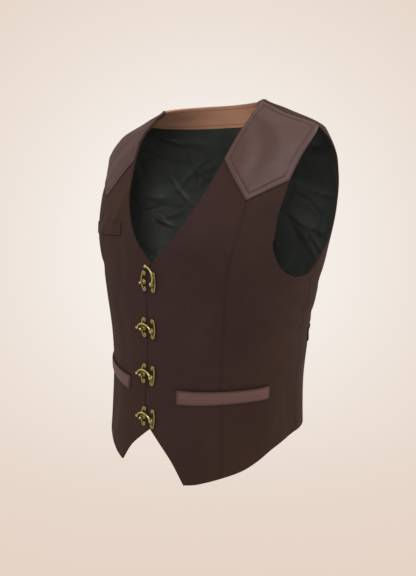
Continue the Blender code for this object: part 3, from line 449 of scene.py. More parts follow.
# Soft lights: name, place, size, share of the set power, and colour
LIGHTS = (
    ("key", (1.1, -1.5, 1.2), 1.0, 2.55, (1.0, 0.97, 0.93)),
    ("fill", (-1.7, -1.5, 0.5), 1.8, 0.7, (1.0, 0.96, 0.92)),
    ("top", (0.1, 0.3, 1.9), 1.2, 0.6, (1.0, 0.97, 0.94)),
    ("back_left", (1.9, 0.9, 1.2), 0.8, 2.4, (1.0, 0.96, 0.92)),
    ("back_right", (-1.3, 1.7, 0.6), 1.0, 0.9, (1.0, 0.96, 0.92)),
)
MADE_FINISHES = {}  # by name, shared by the pieces
# The wearer's left half and the right one, which is mirrored, with the armhole's line on the back
HALVES = (("left", 1, LEFT_ARM), ("right", -1, RIGHT_ARM))
# The lines of a grid on each of its sides, and the ones just inside them
SIDES = {"left": np.s_[:, 0], "right": np.s_[:, -1], "bottom": np.s_[0], "top": np.s_[-1]}
INSIDES = {"left": np.s_[:, 1], "right": np.s_[:, -2], "bottom": np.s_[1], "top": np.s_[-2]}


# The torso form, and lines and grids on it

def unit(vectors):
    """Vectors brought to a length of 1."""
    return vectors / np.linalg.norm(vectors, axis=-1, keepdims=True)


def square_to(vectors, along):
    """The vectors without their share along some unit vectors."""
    return vectors - along * np.sum(vectors * along, axis=-1, keepdims=True)


def run_of(points):
    """The length of a line of points up to each of them."""
    return np.concatenate([[0.0], np.cumsum(np.linalg.norm(np.diff(points, axis=0), axis=1))])


def monotone(knots, values, at):
    """A smooth curve through the knots that never overshoots between them."""
    knots = np.asarray(knots, float)
    values = np.asarray(values, float)
    step = np.diff(knots)
    slope = np.diff(values) / step
    tangent = np.zeros(len(knots))
    tangent[0] = slope[0]
    tangent[-1] = slope[-1]
    for i in range(1, len(knots) - 1):
        if slope[i - 1] * slope[i] > 0:
            before = 2 * step[i] + step[i - 1]
            after = step[i] + 2 * step[i - 1]
            tangent[i] = (before + after) / (before / slope[i - 1] + after / slope[i])
    at = np.clip(np.asarray(at, float), knots[0], knots[-1])
    k = np.clip(np.searchsorted(knots, at, side="right") - 1, 0, len(knots) - 2)
    t = (at - knots[k]) / step[k]
    start = (2 * t**3 - 3 * t**2 + 1) * values[k] + (t**3 - 2 * t**2 + t) * step[k] * tangent[k]
    end = (3 * t**2 - 2 * t**3) * values[k + 1] + (t**3 - t**2) * step[k] * tangent[k + 1]
    return start + end


def torso(angle, height):
    """The torso form's points at some angles (degrees) and heights (mm)."""
    angle = np.radians(np.asarray(angle, float))
    height = np.asarray(height, float)
    rows = np.array(TORSO)[::-1]
    width, front, back, front_square, back_square = (
        monotone(rows[:, 0], rows[:, i], height) for i in range(1, 6))
    ahead = np.cos(angle) > 0
    depth = np.where(ahead, front, back)
    square = np.where(ahead, front_square, back_square)
    radius = ((np.abs(np.sin(angle)) / width) ** square
              + (np.abs(np.cos(angle)) / depth) ** square) ** (-1 / square)
    return np.stack([radius * np.sin(angle), -radius * np.cos(angle), height + 0 * angle], -1) * MM


def outward(angle, height):
    """The torso form's unit normals, pointing away from the wearer."""
    reach = 0.5
    middle = np.clip(height, TORSO[-1].height + reach, TORSO[0].height - reach)
    across = torso(np.asarray(angle) + reach, middle) - torso(np.asarray(angle) - reach, middle)
    up = torso(angle, middle + reach) - torso(angle, middle - reach)
    return unit(np.cross(across, up))


def lifted(grid, lift):
    """Points moved out from the torso form by a distance, or by one for each point."""
    angle, height = grid[..., 0], grid[..., 1]
    return torso(angle, height) + outward(angle, height) * np.asarray(lift)[..., None]


def shares(spots):
    """How far along the line through the spots each of them lies, from 0 to 1."""
    run = run_of(torso(*np.transpose(spots)))
    return run / run[-1]


def path(*spots):
    """A smooth line through the spots, as a function of the share of its length."""
    run = shares(spots)

    def at(share):
        return np.stack([monotone(run, values, share) for values in np.transpose(spots)], -1)
    return at


def part_of(line, start, end):
    return lambda share: line(start + (end - start) * np.asarray(share, float))


def stretches(spots, breaks):
    """The smooth line through the spots, cut into one line between each two breaks."""
    line = path(*spots)
    run = dict(zip(spots, shares(spots)))
    return [part_of(line, run[a], run[b]) for a, b in zip(breaks, breaks[1:])]


def joined(first, second, corner):
    """Two lines end to end. The first takes the shares up to the corner."""
    def at(share):
        share = np.asarray(share, float)
        early = first(np.clip(share / corner, 0, 1))
        late = second(np.clip((share - corner) / (1 - corner), 0, 1))
        return np.where((share <= corner)[..., None], early, late)
    return at


def even(count):
    return np.linspace(0, 1, count + 1)


def patch(left, right, bottom, top, columns, rows):
    """A grid of angles and heights that fills the space between four lines."""
    u = np.asarray(columns)[None, :, None]
    v = np.asarray(rows)[:, None, None]
    low, high = bottom(u[0, :, 0])[None], top(u[0, :, 0])[None]
    near, far = left(v[:, 0, 0])[:, None], right(v[:, 0, 0])[:, None]
    corners = ((1 - v) * ((1 - u) * low[:, :1] + u * low[:, -1:])
               + v * ((1 - u) * high[:, :1] + u * high[:, -1:]))
    return (1 - v) * low + v * high + (1 - u) * near + u * far - corners


def finer(steps, factor):
    """The steps with each cut into even shorter ones."""
    places = np.arange((len(steps) - 1) * factor + 1) / factor
    return np.interp(places, np.arange(len(steps)), steps)


SHOULDER_SEAM = path(NECK_POINT, Spot(85.5, -13), Spot(84, -26), SHOULDER_TIP)
MID_SHOULDER_SHARE = CENTRE_COLUMNS / (CENTRE_COLUMNS + SIDE_CHEST_COLUMNS)
BAND_SHARE = 3 / 8
MID_SHOULDER = Spot(*SHOULDER_SEAM(MID_SHOULDER_SHARE))
BAND_SHOULDER = Spot(*SHOULDER_SEAM(BAND_SHARE))


def closure(height):
    """The angle at which the two fronts meet at a height."""
    return float(monotone(*np.transpose(CLOSURE), height))


def front_grids(side, factor=FINE):
    """Grids of a front's centre panel and side panel, from the hem to the shoulder.

    The wearer's right front (side -1) is laid out on the left of the form and mirrored later.
    """
    def front_edge(height):
        return Spot(FRONT_EDGE + side * closure(height), height)

    def welt_line(spots, outer, side_columns):
        centre = joined(path(*spots[:2]), path(*spots[1:3]), CENTRE_INNER / CENTRE_COLUMNS)
        side = joined(path(*spots[2:4]), path(*spots[3:]), outer / side_columns)
        return centre, side

    hip_low_spots = (front_edge(HIP_WELT_LOW[0].height), *HIP_WELT_LOW[1:])
    hip_high_spots = (front_edge(HIP_WELT_HIGH[0].height), *HIP_WELT_HIGH[1:])
    hip_low = welt_line(hip_low_spots, HIP_WELT_OUTER, SIDE_COLUMNS)
    hip_high = welt_line(hip_high_spots, HIP_WELT_OUTER, SIDE_COLUMNS)
    chest_low = welt_line(CHEST_WELT_LOW, CHEST_WELT_OUTER, SIDE_CHEST_COLUMNS)
    chest_high = welt_line(CHEST_WELT_HIGH, CHEST_WELT_OUTER, SIDE_CHEST_COLUMNS)
    hem_centre = joined(path(HEM_NOTCH, Spot(8, -506), Spot(16, -527), HEM_POINT),
                        path(HEM_POINT, Spot(30, -555), Spot(36, -549), HEM_PRINCESS),
                        HEM_POINT_COLUMN / CENTRE_COLUMNS)
    hem_side = path(HEM_PRINCESS, Spot(55, -530), Spot(62, -520), Spot(71, -507), Spot(83, -499),
                    HEM_SIDE)
    arm_scoop = path(ARM_FRONT, Spot(69, -234), Spot(73, -242), Spot(79, -248), Spot(85, -247),
                     UNDERARM)
    bust_side = path(BUST_PRINCESS, ARM_FRONT)
    bust_whole = joined(bust_side, arm_scoop, SIDE_CHEST_COLUMNS / SIDE_COLUMNS)

    front_breaks = (HEM_NOTCH, hip_low_spots[0], hip_high_spots[0], NECK_BOTTOM)
    front = sorted({*front_breaks, *(front_edge(c.height) for c in CLOSURE)}, key=lambda s: s.height)
    neck_breaks = (NECK_BOTTOM, CHEST_WELT_LOW[0], CHEST_WELT_HIGH[0], YOKE_NECK)
    neck = (*neck_breaks[:3], Spot(27, -160), Spot(37, -124), YOKE_NECK)
    princess_breaks = (HEM_PRINCESS, HIP_WELT_LOW[2], HIP_WELT_HIGH[2], BUST_PRINCESS,
                       CHEST_WELT_LOW[2], CHEST_WELT_HIGH[2], YOKE_TIP)
    princess = (*princess_breaks[:3], Spot(45, -318), *princess_breaks[3:])
    side_seam = (HEM_SIDE, HIP_WELT_LOW[4], HIP_WELT_HIGH[4], UNDERARM)
    arm_breaks = (ARM_FRONT, CHEST_WELT_LOW[4], CHEST_WELT_HIGH[4], YOKE_ARM)
    arm = (*arm_breaks[:3], Spot(66, -164), Spot(69, -138), YOKE_ARM)

    inner = (stretches(front, front_breaks) + stretches(neck, neck_breaks)
             + [path(YOKE_NECK, Spot(58, -56), Spot(71, -28), NECK_POINT)])
    middle = stretches(princess, princess_breaks) + [path(YOKE_TIP, Spot(62, -100), MID_SHOULDER)]
    outer = (stretches(side_seam, side_seam) + stretches(arm, arm_breaks)
             + [path(YOKE_ARM, Spot(79, -78), SHOULDER_TIP)])
    centre_lines = (hem_centre, hip_low[0], hip_high[0], path(NECK_BOTTOM, BUST_PRINCESS),
                    chest_low[0], chest_high[0], path(YOKE_NECK, YOKE_TIP),
                    part_of(SHOULDER_SEAM, 0, MID_SHOULDER_SHARE))
    side_lines = (hem_side, hip_low[1], hip_high[1], bust_side, chest_low[1], chest_high[1],
                  path(YOKE_TIP, YOKE_ARM), part_of(SHOULDER_SEAM, MID_SHOULDER_SHARE, 1))
    rows = (even(3), even(1), WAIST_ROWS, even(2), even(1), even(3), SHOULDER_ROWS)

    centres = []
    sides = []
    for i in range(len(rows)):
        centres.append(patch(inner[i], middle[i], centre_lines[i], centre_lines[i + 1],
                             finer(even(CENTRE_COLUMNS), factor), finer(rows[i], factor)))
        top = bust_whole if i == WAIST else side_lines[i + 1]
        columns = SIDE_COLUMNS if i <= WAIST else SIDE_CHEST_COLUMNS
        sides.append(patch(middle[i], outer[i], side_lines[i], top,
                           finer(even(columns), factor), finer(rows[i], factor)))
    return centres, sides


def back_grids(arm, factor=FINE):
    """Grids of half of the back, from the hem to the neck edge, laid out on the left."""
    strap_low = path(Spot(90, STRAP_LOW), Spot(180, STRAP_LOW))
    strap_high = path(Spot(90, STRAP_HIGH), Spot(180, STRAP_HIGH))
    band_low = path(BAND_SHOULDER, Spot(96, -19), Spot(110, -23), Spot(135, -27), BAND_BACK)
    neck = path(NECK_POINT, Spot(105, 3), Spot(125, 5), Spot(150, 6), NAPE)
    top = joined(part_of(SHOULDER_SEAM, 1, BAND_SHARE), band_low,
                 BACK_SHOULDER_COLUMNS / BACK_COLUMNS)
    ridge = joined(path(RIDGE_ARM, Spot(98.5, -57), Spot(100.5, -45), RIDGE_BAND),
                   path(RIDGE_BAND, Spot(120, -45), Spot(145, -54), RIDGE_BACK),
                   BACK_SHOULDER_COLUMNS / BACK_COLUMNS)
    lines = (path(HEM_SIDE, HEM_BACK), strap_low, strap_high, path(UNDERARM, UNDERARM_BACK), ridge, top)
    outer = stretches((HEM_SIDE, Spot(90, STRAP_LOW), Spot(90, STRAP_HIGH), UNDERARM),
                      (HEM_SIDE, Spot(90, STRAP_LOW), Spot(90, STRAP_HIGH), UNDERARM))
    outer += stretches(arm, (UNDERARM, RIDGE_ARM, SHOULDER_TIP))
    spine = (HEM_BACK, Spot(180, STRAP_LOW), Spot(180, STRAP_HIGH), UNDERARM_BACK, RIDGE_BACK, BAND_BACK)
    inner = stretches(spine, spine)
    rows = (even(3), even(1), even(2), BLADE_ROWS, RIDGE_ROWS)
    grids = [patch(outer[i], inner[i], lines[i], lines[i + 1], finer(even(BACK_COLUMNS), factor),
                   finer(rows[i], factor)) for i in range(len(rows))]
    band_side = part_of(SHOULDER_SEAM, BAND_SHARE, 0)
    grids.append(patch(band_side, path(BAND_BACK, NAPE), band_low, neck,
                       finer(even(BACK_NECK_COLUMNS), factor), finer(even(3), factor)))
    return grids


def surface_frame(angle, height):
    """A plane that touches the torso form: its X level, its Y up the cloth and its Z outward."""
    spot = np.array([[angle, height]], float)
    origin = Vector(lifted(spot, 0.0)[0])
    out = Vector(outward(spot[:, 0], spot[:, 1])[0])
    level = Vector((0, 0, 1)).cross(out).normalized()
    frame = Matrix((level, out.cross(level), out)).transposed().to_4x4()
    frame.translation = origin
    return frame


def back_angle(across, height):
    """The angle at which the back's form is a distance (mm) to the left of the centre back."""
    angles = np.linspace(*BACK_ANGLES)
    reach = torso(angles, np.full(angles.shape, height))[:, 0] / MM
    angle = float(np.interp(-abs(across), -reach, angles))
    return angle if across >= 0 else 360 - angle


def strap_route(turn, tail_start, tail_end):
    """Distances from the centre back and lifts (mm) of a strap that folds round a bar at turn."""
    reach = SLIDE_LIFT - STRAP_LIFT
    tail_lift = STRAP_LIFT + (WEBBING + LAYER_GAP) / MM
    tail_kink = tail_start + TAIL_KINK
    route = [(STRAP_NEAR, STRAP_LIFT), ((STRAP_NEAR + turn) / 2, STRAP_LIFT)]
    for step in range(FOLD_STEPS + 1):
        bend = -pi / 2 - pi * step / FOLD_STEPS
        route.append((turn + reach * cos(bend), SLIDE_LIFT + reach * sin(bend)))
    return route + [(tail_start, SLIDE_LIFT + reach), (tail_kink, tail_lift + TAIL_KINK_RISE),
                    (tail_kink + TAIL_EASE, tail_lift), (tail_end, tail_lift)]


# Drape, edges and walls

def cloth_from(spot, angle, height):
    """How far (mm) round the form and up it some angles and heights lie from a spot."""
    turn = (np.asarray(angle) - spot.angle + 180) % 360 - 180
    return np.radians(turn) * GIRTH, np.asarray(height) - spot.height


def patch_over(step, rise):
    """A patch with soft edges: 1 at its middle and 0 beyond the half sizes that both are shares of."""
    return np.exp(-(step ** 2 + rise ** 2) ** 2)


def crease_lift(angle, height, creases):
    """How far some creases move the cloth out or in at signed angles and heights, in mm."""
    total = np.zeros(np.shape(angle))
    for crease in creases:
        step, rise = cloth_from(crease, angle, height)
        lean = radians(crease.lean)
        along = step * cos(lean) + rise * sin(lean)
        off = rise * cos(lean) - step * sin(lean) - crease.bow * along ** 2 / crease.length
        total = total + crease.depth * np.exp(-(along / crease.length) ** 2 - (off / crease.width) ** 2)
    return total


def drape(angle, height):
    """How far the cloth lies out from the torso form at signed angles and heights, in metres."""
    free = np.ones(np.shape(angle))
    for calm in CALM_SPOTS:
        step, rise = cloth_from(calm, angle, height)
        free = free * (1 - patch_over(step / calm.half_width, rise / calm.half_height))
    return crease_lift(angle, height, SHELL_CREASES) * free * MM * vest_settings().crease_strength


def dressed(grid, lift, half):
    """Points of a grid at a lift, moved by the drape and set on the wearer's left (1) or right (-1)."""
    shift = drape(half * grid[..., 0], grid[..., 1])
    return lifted(grid, lift + shift) * (half, 1, 1)


def seam_shift(points, side, distance):
    """The shift that draws a side of a grid in, square to its own line."""
    edge = points[SIDES[side]]
    along = unit(np.gradient(edge, axis=0))
    return unit(square_to(points[INSIDES[side]] - edge, along)) * distance


def spacing_from(points, edge):
    """The distance of each point from the nearest point of an edge, in mm."""
    flat = points.reshape(-1, 3)
    gap = np.array([np.linalg.norm(edge - spot, axis=1).min() for spot in flat])
    return gap.reshape(points.shape[:-1]) / MM


# A part of a wall: its grid, the sides that are drawn in (side: distance and span of places), its
# half of the form, what its under and outer faces add to their lifts, and how much painted shade
# darkens its outer face
Part = namedtuple("Part", "grid drawn half under over stain")


def clasp_shadow(angle, height):
    """How dark the painted shadow of the clasps makes the twill close round them."""
    stain = np.zeros(np.shape(angle))
    for spot in CLASP_SPOTS:
        step, rise = cloth_from(spot, angle, height)
        step = (step - CLASP_SHADOW_MIDDLE) / CLASP_SHADOW_HALF_WIDTH
        stain += CLASP_SHADOW_DARKNESS * patch_over(step, rise / CLASP_SHADOW_HALF_HEIGHT)
    return stain


def parts_of(grids, rules, half, pressed=True):
    """Parts of a wall, from rules: side, distance, first and last grid, and a span of places if any."""
    result = []
    for i, grid in enumerate(grids):
        drawn = {side: (distance, slice(*span or (None,))) for side, distance, first, last, *span in rules
                 if first <= i <= last}
        over = np.zeros(grid.shape[:2])
        # Painted shadow round the clasps
        stain = clasp_shadow(half * grid[..., 0], grid[..., 1]) if pressed else np.zeros(grid.shape[:2])
        for side, (distance, span) in drawn.items():
            if pressed and distance < EDGE_HALF_WIDTH:
                over[SIDES[side]][span] = -PRESSED
                # Painted shade: a dark line along the pressed seam's groove
                stain[SIDES[side]][span] = SEAM_SHADE
        result.append(Part(grid, drawn, half, np.zeros(grid.shape[:2]), over, stain))
    return result


def front_rules(factor, princess):
    """How a front's centre and side panels are drawn in, with a princess seam between them or none."""
    ends = (("top", -SEAM_LAP, SHOULDER, SHOULDER), ("bottom", EDGE_HALF_WIDTH, HEM, HEM))
    between = [((side, -SEAM_LAP, HEM, SHOULDER),) if princess else () for side in ("right", "left")]
    centre = (*ends, *between[0], ("left", EDGE_HALF_WIDTH, HEM, SHOULDER))
    side = (*ends, *between[1], ("right", -SEAM_LAP, HEM, WAIST), ("right", EDGE_HALF_WIDTH, BUST, SHOULDER),
            ("top", EDGE_HALF_WIDTH, WAIST, WAIST, SIDE_CHEST_COLUMNS * factor, None))
    return centre, side


def back_rules(*shoulder):
    """How half of the back is drawn in, with the span of its shoulder seam if that isn't its whole top."""
    return (("left", -SEAM_LAP, BACK_HEM, BACK_WAIST), ("left", -SEAM_LAP, BAND, BAND),
            ("top", -SEAM_LAP, RIDGE, RIDGE, *shoulder), ("left", EDGE_HALF_WIDTH, BLADE, RIDGE),
            ("bottom", EDGE_HALF_WIDTH, BACK_HEM, BACK_HEM), ("top", EDGE_HALF_WIDTH, BAND, BAND))


def quad_faces(rows, columns):
    corners = np.arange(rows * columns).reshape(rows, columns)
    quads = np.stack([corners[:-1, :-1], corners[:-1, 1:], corners[1:, 1:], corners[1:, :-1]], -1)
    return quads.reshape(-1, 4).tolist()


def closed_wall(name, inner, outer, faces):
    """A closed mesh from two matching sets of points, with a rim round their open edges."""
    count = len(outer)
    used = {(a, b) for face in faces for a, b in zip(face, face[1:] + face[:1])}
    rims = [(b, a, a + count, b + count) for a, b in used if (b, a) not in used]
    undersides = [tuple(i + count for i in face[::-1]) for face in faces]
    mesh = bpy.data.meshes.new(name)
    mesh.from_pydata(np.concatenate([outer, inner]).tolist(), [], faces + undersides + sorted(rims))
    return mesh


def add_stain(mesh, amount):
    """Marks how much painted shade darkens each point of a mesh, from 0 to 1."""
    stain = mesh.attributes.new("stain", "FLOAT", "POINT")
    stain.data.foreach_set("value", np.broadcast_to(amount, len(mesh.vertices)).astype(np.float32))


def wall(name, parts, low, high):
    """A wall of cloth between two lifts, over parts that share edges."""
    middles, inner, outer, faces = [], [], [], []
    for part in parts:
        at = lifted(part.grid, (low + high) / 2)
        shift = np.zeros(at.shape)
        for side, (distance, span) in part.drawn.items():
            shift[SIDES[side]][span] += seam_shift(at, side, distance)[span]
        shift[np.abs(at[..., 0]) < WELD] *= (0, 1, 1)
        mirror = np.array((part.half, 1, 1))
        base = sum(len(points) for points in middles)
        middles.append((at * mirror).reshape(-1, 3))
        for skin, lift, more in ((inner, low, part.under), (outer, high, part.over)):
            skin.append((dressed(part.grid, lift + more, part.half) + shift * mirror).reshape(-1, 3))
        faces += [tuple(i + base for i in face[::part.half]) for face in quad_faces(*at.shape[:2])]
    middle, inner, outer = (np.concatenate(points) for points in (middles, inner, outer))
    tree = KDTree(len(middle))
    for i, spot in enumerate(middle):
        tree.insert(spot, i)
    tree.balance()
    first = np.array([min(found[1] for found in tree.find_range(spot, WELD)) for spot in middle])
    kept, number = np.unique(first, return_inverse=True)
    faces = [tuple(int(number[i]) for i in face) for face in faces]
    faces = [face for face in faces if len(set(face)) == len(face)]
    mesh = closed_wall(name, inner[kept], outer[kept], faces)
    add_stain(mesh, np.tile(np.concatenate([part.stain.ravel() for part in parts])[kept], 2))
    return mesh


def linked(name, data):
    """A new object in the scene."""
    item = bpy.data.objects.new(name, data)
    bpy.context.scene.collection.objects.link(item)
    return item


def finish_piece(mesh, finish, node=None, body="vest", sharp=CLOTH_SHARP):
    """The piece of a mesh: its finish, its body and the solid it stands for."""
    mesh.materials.append(finish)
    mesh.shade_smooth()
    mesh.set_sharp_from_angle(angle=radians(sharp))
    piece = linked(mesh.name, mesh)
    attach(piece, body)
    if node:
        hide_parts(node)
    return piece


def denser(grid, rows):
    """The grid with its lines at other rows, between the ones that it has."""
    places = np.arange(grid.shape[0])
    return np.stack([[np.interp(rows, places, grid[:, j, k]) for j in range(grid.shape[1])]
                     for k in range(2)], -1).transpose(1, 0, 2)


def chained(lines):
    """One line from several that follow each other, without the doubled points."""
    return np.concatenate([lines[0], *(line[1:] for line in lines[1:])])


def edge_lines(*places):
    """The line along some sides of grids, from pairs of a grid and its side, and the line just inside it."""
    return [chained([grid[table[side]] for grid, side in places]) for table in (SIDES, INSIDES)]


def even_steps(points, pitch):
    """A line's points at even steps of about a pitch, by the length of the line."""
    run = run_of(points)
    count = max(2, int(round(run[-1] / pitch)) + 1)
    return run, np.linspace(0, run[-1], count)


def rolled_edge(name, line, toward, half, inset=EDGE_HALF_WIDTH):
    """The rolled edge where shell and lining meet: an oval bead along a line of the form.

    Toward is a line just inside it, point for point, that says which way the cloth lies.
    """
    centre = dressed(line, EDGE_LIFT, half)
    out = outward(*line.T) * (half, 1, 1)
    along = unit(np.gradient(centre, axis=0))
    side = unit(square_to(square_to(dressed(toward, EDGE_LIFT, half) - centre, along), out))
    side[np.abs(centre[:, 0]) < WELD] *= (0, 1, 1)
    centre = centre + side * inset
    bends = np.linspace(0, 2 * pi, EDGE_SIDES, endpoint=False)
    rings = (centre[:, None] + side[:, None] * np.cos(bends)[None, :, None] * EDGE_HALF_WIDTH
             + out[:, None] * np.sin(bends)[None, :, None] * EDGE_HALF_THICKNESS)
    mesh = ring_mesh(name, rings)
    # Painted shade: the whole bead is darkened, a dark outline along the edge
    add_stain(mesh, ROLLED_EDGE_SHADE)
    return mesh


def ring_quads(count, sides, base=0, closed=False):
    """The faces round a tube of rings, from one ring to the next."""
    ring = [(k, (k + 1) % sides) for k in range(sides)]
    steps = [(base + i * sides, base + (i + 1) % count * sides)
             for i in range(count if closed else count - 1)]
    return [(a + k, a + m, b + m, b + k) for a, b in steps for k, m in ring]


def ring_faces(count, sides, base=0):
    """The faces of a tube of rings with flat ends."""
    last = base + (count - 1) * sides
    return [*ring_quads(count, sides, base), tuple(range(base, base + sides))[::-1],
            tuple(range(last, last + sides))]


def ring_mesh(name, rings, closed=False):
    """A tube through rings of points, with flat ends unless it is closed."""
    count, sides = rings.shape[:2]
    faces = ring_quads(count, sides, closed=True) if closed else ring_faces(count, sides)
    mesh = bpy.data.meshes.new(name)
    mesh.from_pydata(rings.reshape(-1, 3).tolist(), [], faces)
    turned_out(mesh)
    return mesh


def turned_out(mesh):
    """Makes a closed mesh's faces look outward."""
    builder = bmesh.new()
    builder.from_mesh(mesh)
    bmesh.ops.recalc_face_normals(builder, faces=builder.faces)
    builder.to_mesh(mesh)
    builder.free()


def joined_mesh(name, meshes):
    """One mesh from several, as loose parts."""
    builder = bmesh.new()
    for mesh in meshes:
        builder.from_mesh(mesh)
    result = bpy.data.meshes.new(name)
    builder.to_mesh(result)
    builder.free()
    return result


def inset_line(line, toward, distance):
    """The line moved over the form toward another, point for point, by a distance in mm."""
    at = torso(*line.T)
    turn, rise = ((torso(*(line + step).T) - torso(*(line - step).T)) / (2 * SLOPE_STEP)
                  for step in ((SLOPE_STEP, 0), (0, SLOPE_STEP)))
    along = unit(np.gradient(at, axis=0))
    inside = unit(square_to(torso(*toward.T) - at, along)) * distance * MM
    moved = []
    for spot, first, second, move in zip(line, turn, rise, inside):
        share = np.linalg.lstsq(np.stack([first, second], -1), move, rcond=None)[0]
        moved.append(spot + share)
    return np.array(moved)


def stitch_row(line, half, lift, keep=None):
    """Stitches along a line of the form, each a short thread that dips into the cloth at its ends."""
    points = dressed(line, lift, half)
    out = outward(*line.T) * (half, 1, 1)
    run, steps = even_steps(points, STITCH_PITCH * MM)
    bends = np.linspace(0, 2 * pi, STITCH_SIDES, endpoint=False)
    reach = STITCH_LENGTH / 2 * MM
    radius = THREAD_RADIUS * MM
    meshes = []
    for step in steps:
        wanted = ((step, points), (step + reach / 2, points), (step - reach / 2, points), (step, out))
        centre, ahead, behind, normal = (np.array([np.interp(place, run, axis) for axis in values.T])
                                         for place, values in wanted)
        if keep is not None and not keep(centre):
            continue
        along = unit(ahead - behind)
        side = unit(np.cross(along, normal))
        rings = [[centre + along * reach * place + normal * radius * (rise + size * sin(bend))
                  + side * radius * size * cos(bend) for bend in bends] for place, rise, size in STITCH_SHAPE]
        meshes.append(np.array(rings))
    return meshes


def stitch_piece(name, rows):
    """One piece from all the stitches of some rows."""
    stitches = np.array([rings for row in rows for rings in row])
    count, rings, sides = stitches.shape[:3]
    faces = [face for i in range(count) for face in ring_faces(rings, sides, i * rings * sides)]
    mesh = bpy.data.meshes.new(name)
    mesh.from_pydata(stitches.reshape(-1, 3).tolist(), [], faces)
    turned_out(mesh)
    return finish_piece(mesh, finish_of(thread_finish))


# Metal shapes, in millimetres on a clasp's plane

def tube(points, widths, depths, square=2.0, sides=14, closed=False):
    """Rings round a line: widths across it in the plane, depths along the plane's Z."""
    points = np.asarray(points, float)
    if closed:
        along = np.roll(points, -1, axis=0) - np.roll(points, 1, axis=0)
    else:
        along = np.gradient(points, axis=0)
    along = unit(along)
    side = unit(np.cross(along, (0.0, 0.0, 1.0)))
    up = np.cross(side, along)
    bends = np.linspace(0, 2 * pi, sides, endpoint=False)
    flat, tall = (np.sign(reach) * np.abs(reach) ** (2 / square) for reach in (np.cos(bends), np.sin(bends)))
    widths, depths = (np.broadcast_to(size, len(points))[:, None, None] / 2 for size in (widths, depths))
    return (points[:, None] + side[:, None] * flat[None, :, None] * widths
            + up[:, None] * tall[None, :, None] * depths)


def turned(profile, place, sides=24):
    """Rings of a turned shape from radii and lifts, round a place."""
    bends = np.linspace(0, 2 * pi, sides, endpoint=False)
    return np.array([[(place[0] + radius * cos(bend), place[1] + radius * sin(bend), lift)
                      for bend in bends] for radius, lift in profile])


def dome(radius, low, rise, steps=6, foot=0.0):
    """The profile of a dome on a straight foot, from its foot to nearly its top."""
    profile = [(radius, low)]
    for step in range(steps + 1):
        bend = pi / 2 * step / steps * DOME_END
        profile.append((radius * cos(bend), low + foot + rise * sin(bend)))
    return profile


def sphere(radius, lift, start=-0.97, steps=12):
    """The profile of a ball whose middle is at a lift."""
    bends = np.linspace(pi / 2 * start, pi / 2 * DOME_END, steps)
    return [(radius * cos(bend), lift + radius * sin(bend)) for bend in bends]


def openness(mesh):
    """How much of the room each point of a metal mesh sees above the cloth, from 0 to 1."""
    tree = BVHTree.FromPolygons([v.co for v in mesh.vertices], [f.vertices for f in mesh.polygons])
    spread = []
    for i in range(OPEN_RAYS):
        rise = 1 - (i + 0.5) / OPEN_RAYS
        turn = i * GOLDEN_TURN
        flat = (1 - rise * rise) ** 0.5
        spread.append(Vector((flat * cos(turn), flat * sin(turn), rise)))
    result = []
    for vertex in mesh.vertices:
        normal = vertex.normal
        upright = normal.to_track_quat("Z", "Y")
        start = vertex.co + normal * RAY_START
        free = 0.0
        total = 0.0
        for ray in spread:
            heading = upright @ ray
            total += ray.z
            low = start.z + heading.z * OPEN_REACH < CLOTH_SHADE
            if not low and tree.ray_cast(start, heading, OPEN_REACH)[0] is None:
                free += ray.z
        result.append(free / total)
    return np.array(result)


def metal_mesh(name, rings, frame):
    """A mesh of several metal shapes in a plane, with how much each point is rubbed and how much painted
    shade it gets from the cloth and the metal round it.
    """
    mesh = joined_mesh(name, [ring_mesh(name, shape, closed) for shape, closed in rings])
    tall = np.zeros(len(mesh.vertices) * 3)
    mesh.vertices.foreach_get("co", tall)
    height = np.clip((tall[2::3] - CLASP_SEAT) / RUBBED_RISE, 0, 1)
    # Real rubbing that grows with height, times how much of the room each point sees: real patina in hollows,
    # with painted shade where the cloth and the metal itself hide the room
    rubbed = openness(mesh) ** RUBBED_POWER * (RUBBED_LEAST + (1 - RUBBED_LEAST) * height)
    worn = mesh.attributes.new("worn", "FLOAT", "POINT")
    worn.data.foreach_set("value", rubbed.astype(np.float32))
    mesh.transform(frame @ Matrix.Scale(MM, 4))
    return mesh


def scroll_line(spine, curls):
    """A scroll's centre line: a spine that bows a little and curls in at each end."""
    turn = 1 if spine < curls[0][0] else -1
    halves = []
    for (x, y), up in zip(curls, (1, -1)):
        curl = []
        for step in range(SCROLL_STEPS + 1):
            share = step / SCROLL_STEPS
            bend = pi - CURL_TURN * pi * share
            radius = CURL_RADIUS + (CURL_END_RADIUS - CURL_RADIUS) * share
            curl.append((x + turn * radius * cos(bend), y + up * radius * sin(bend)))
        halves.append(curl)
    first, second = halves[0][0], halves[1][0]
    middle = [(first[0] + (spine - first[0]) * sin(pi * share), first[1] + (second[1] - first[1]) * share)
              for share in np.linspace(0, 1, SPINE_POINTS)[1:-1]]
    return halves[0][::-1] + middle + halves[1]


def scroll_rings(spine, curls):
    """A flat strip on edge, swollen at its middle and drawn thin at its curled ends."""
    line = scroll_line(spine, curls)
    share = np.linspace(-1, 1, len(line))
    width = STRIP_WIDTH * STRIP_SWELL * (STRIP_WIDEST - STRIP_NARROWING * np.abs(share) ** 5)
    depth = STRIP_DEPTH * (STRIP_DEEPEST - STRIP_THINNING * np.abs(share) ** 3)
    points = [(x, y, CLASP_SEAT + depth[i] / 2) for i, (x, y) in enumerate(line)]
    return tube(points, width, depth, square=STRIP_SQUARE), False


